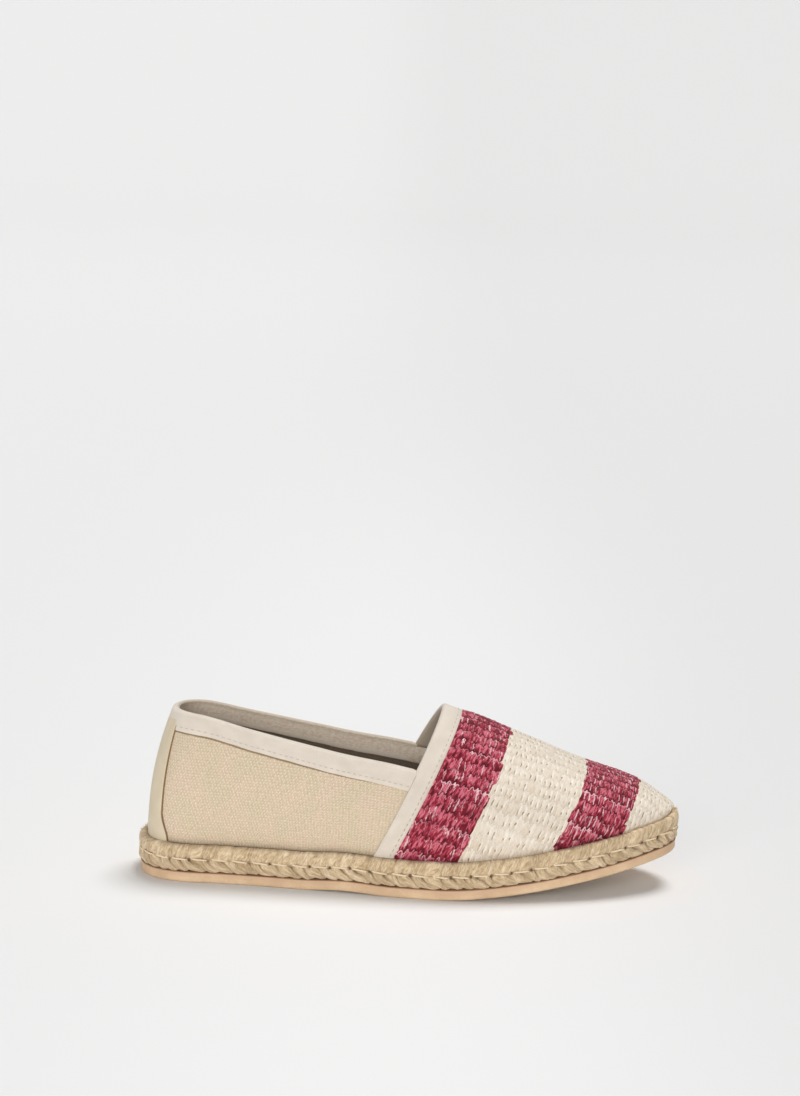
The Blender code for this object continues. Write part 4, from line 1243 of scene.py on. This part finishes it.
makeRubber(rubberMaterial())
jute = juteMaterial()
makePlait(jute)
makePlaitHairs(jute)
makePlaitStitches(threadMaterial("plaitThread", plait["thread"], plait["threadDark"]))
makeInsole(clothMaterial("insoleCanvas", insole["light"], insole["dark"], insole["thread"]))
print("sole done")
makeQuarters(canvasMaterial())
makeVamp(berryMaterial("ribbonBerryLoose", False), berryMaterial("ribbonBerryNeat", True), naturalMaterial())
makeLining(clothMaterial("liningCanvas", lining["light"], lining["dark"], lining["thread"]))
print("upper done")
tapeCotton = tapeMaterial()
makeCollarTape(tapeCotton)
makeTapeEnds(tapeCotton)
makeVampTape(tapeCotton)
makeTapeStitches(threadMaterial("tapeThread", tape["thread"], tape["threadDark"]),
                 threadMaterial("litInsideThread", tape["litInsideThread"], tape["litInsideThreadDark"]))
makeBackstay(backstayMaterial())
print("tapes and backstay done")

# Studio: pale paper that curves up far behind, light from above and from low in front, and a soft white surround
studio = {
    "floorHalf": 12.0, "wallAt": 6.0, "curve": 4.0, "wallHeight": 4.2,
    # the paper is painted darker from left to right, as shade
    "left": (0.845, 0.84, 0.835), "right": (0.80, 0.795, 0.79), "tilt": 0.2,
    # a painted pool of light
    "paintedPool": (0.915, 0.905, 0.90), "paintedPoolAt": (-0.01, -0.05), "paintedPoolSize": (0.16, 1.3),
    # a painted lift, cooler and lighter, where the shoe's shadow falls
    "near": (0.88, 0.925, 0.96), "nearAt": (0.0, 0.0), "nearSize": (0.116, 0.045),
    # painted shade far behind
    "paintedFarShade": 0.895, "farFrom": 3.0, "farTo": 8.5,
    "surround": 0.32, "surroundColour": (0.975, 0.99, 1.0),
    "key": 1.90, "keySpread": 24.0, "keyFrom": (0.24, 0.29, 1.0),
    "fill": 2.05, "fillSpread": 40.0, "fillFrom": (-0.25, -1.0, 0.13),
}


def paperMaterial():
    # paper with a painted pool of light, exp(-(x / width)^2 - (y / depth)^2), painted cooler and lighter right under
    # the shoe where its shadow falls, and painted shade to the right and far behind
    material, tree = newMaterial("studioPaper", studio["left"], 0.9)
    x, y = parted(objectMap(tree))[:2]

    def oval(centre, sizes):
        spread = 0.0
        for value, middle, size in zip((x, y), centre, sizes):
            off = (value - middle) / size
            spread = off * off + spread
        return spread

    paintedPool = calc("EXPONENT", oval(studio["paintedPoolAt"], studio["paintedPoolSize"]) * -1.0)
    colour = mix(between(x, -studio["tilt"], studio["tilt"]), studio["left"], studio["right"])
    colour = mix(paintedPool, colour, studio["paintedPool"])
    far = between(y, studio["farFrom"], studio["farTo"])
    colour = mix(far, colour, [studio["paintedFarShade"]] * 3, "MULTIPLY")
    # painted cooler and lighter under the shoe, where its shadow falls
    colour = mix(between(oval(studio["nearAt"], studio["nearSize"]), 1.35, 0.75), colour, studio["near"])
    return finishMaterial(material, colour)


def makeFloor():
    # profile carried along x: flat, a quarter circle, then upright
    angle = np.linspace(0.0, math.pi / 2.0, 25)
    back = studio["wallAt"] + studio["curve"]
    y = np.concatenate([[-studio["floorHalf"]], studio["wallAt"] + studio["curve"] * np.sin(angle), [back]])
    z = np.concatenate([[0.0], studio["curve"] * (1.0 - np.cos(angle)), [studio["wallHeight"]]])
    x = np.array([-studio["floorHalf"], studio["floorHalf"]])
    points = np.stack(np.broadcast_arrays(x[None, :], y[:, None], z[:, None]), axis=-1)
    mesh = bpy.data.meshes.new("studioFloor")
    mesh.from_pydata(points.reshape(-1, 3).tolist(), [], gridFaces(len(y), 2).tolist())
    mesh.shade_smooth()
    mesh.materials.append(paperMaterial())
    floor = bpy.data.objects.new("studioFloor", mesh)
    bpy.context.scene.collection.objects.link(floor)


def addSun(name, strength, spread, source):
    # parallel light from the direction of the source, spread over an angle in degrees
    data = bpy.data.lights.new(name, "SUN")
    data.energy = strength
    data.angle = math.radians(spread)
    light = bpy.data.objects.new(name, data)
    light.rotation_euler = (-Vector(source)).to_track_quat("-Z", "Y").to_euler()
    bpy.context.scene.collection.objects.link(light)


makeFloor()
addSun("keyLight", studio["key"], studio["keySpread"], studio["keyFrom"])
addSun("fillLight", studio["fill"], studio["fillSpread"], studio["fillFrom"])
world = bpy.data.worlds.new("studioSurround")
world.use_nodes = True
surround = world.node_tree.nodes["Background"].inputs
surround["Color"].default_value = (*studio["surroundColour"], 1.0)
surround["Strength"].default_value = studio["surround"]
bpy.context.scene.world = world
bpy.context.scene.view_settings.view_transform = "Standard"   # colours show as they are set above

# Camera: a little above the shoe's side, rolled a little, at the photograph's angle
view = {"elevation": 9.0, "yaw": 0.26, "roll": 1.94, "distance": 1.5, "lens": 101.73, "right": 0.00371, "up": 0.15791}
elevation, yaw, roll = [math.radians(view[name]) for name in ("elevation", "yaw", "roll")]
ahead = Vector((math.sin(yaw) * math.cos(elevation), math.cos(yaw) * math.cos(elevation), -math.sin(elevation)))
level = ahead.cross(Vector((0.0, 0.0, 1.0))).normalized()
upright = level.cross(ahead)
right = level * math.cos(roll) + upright * math.sin(roll)
up = upright * math.cos(roll) - level * math.sin(roll)
cameraData = bpy.data.cameras.new("photoCamera")
cameraData.lens = view["lens"]
cameraData.sensor_width = 36.0
cameraData.clip_start = 0.05
cameraData.clip_end = 50.0
camera = bpy.data.objects.new("photoCamera", cameraData)
position = up * view["up"] - right * view["right"] - ahead * view["distance"] - Vector((0.0, middleY, 0.0))
camera.matrix_world = Matrix.Translation(position) @ Matrix((right, up, -ahead)).transposed().to_4x4()
bpy.context.scene.collection.objects.link(camera)
bpy.context.scene.camera = camera
print("studio done")
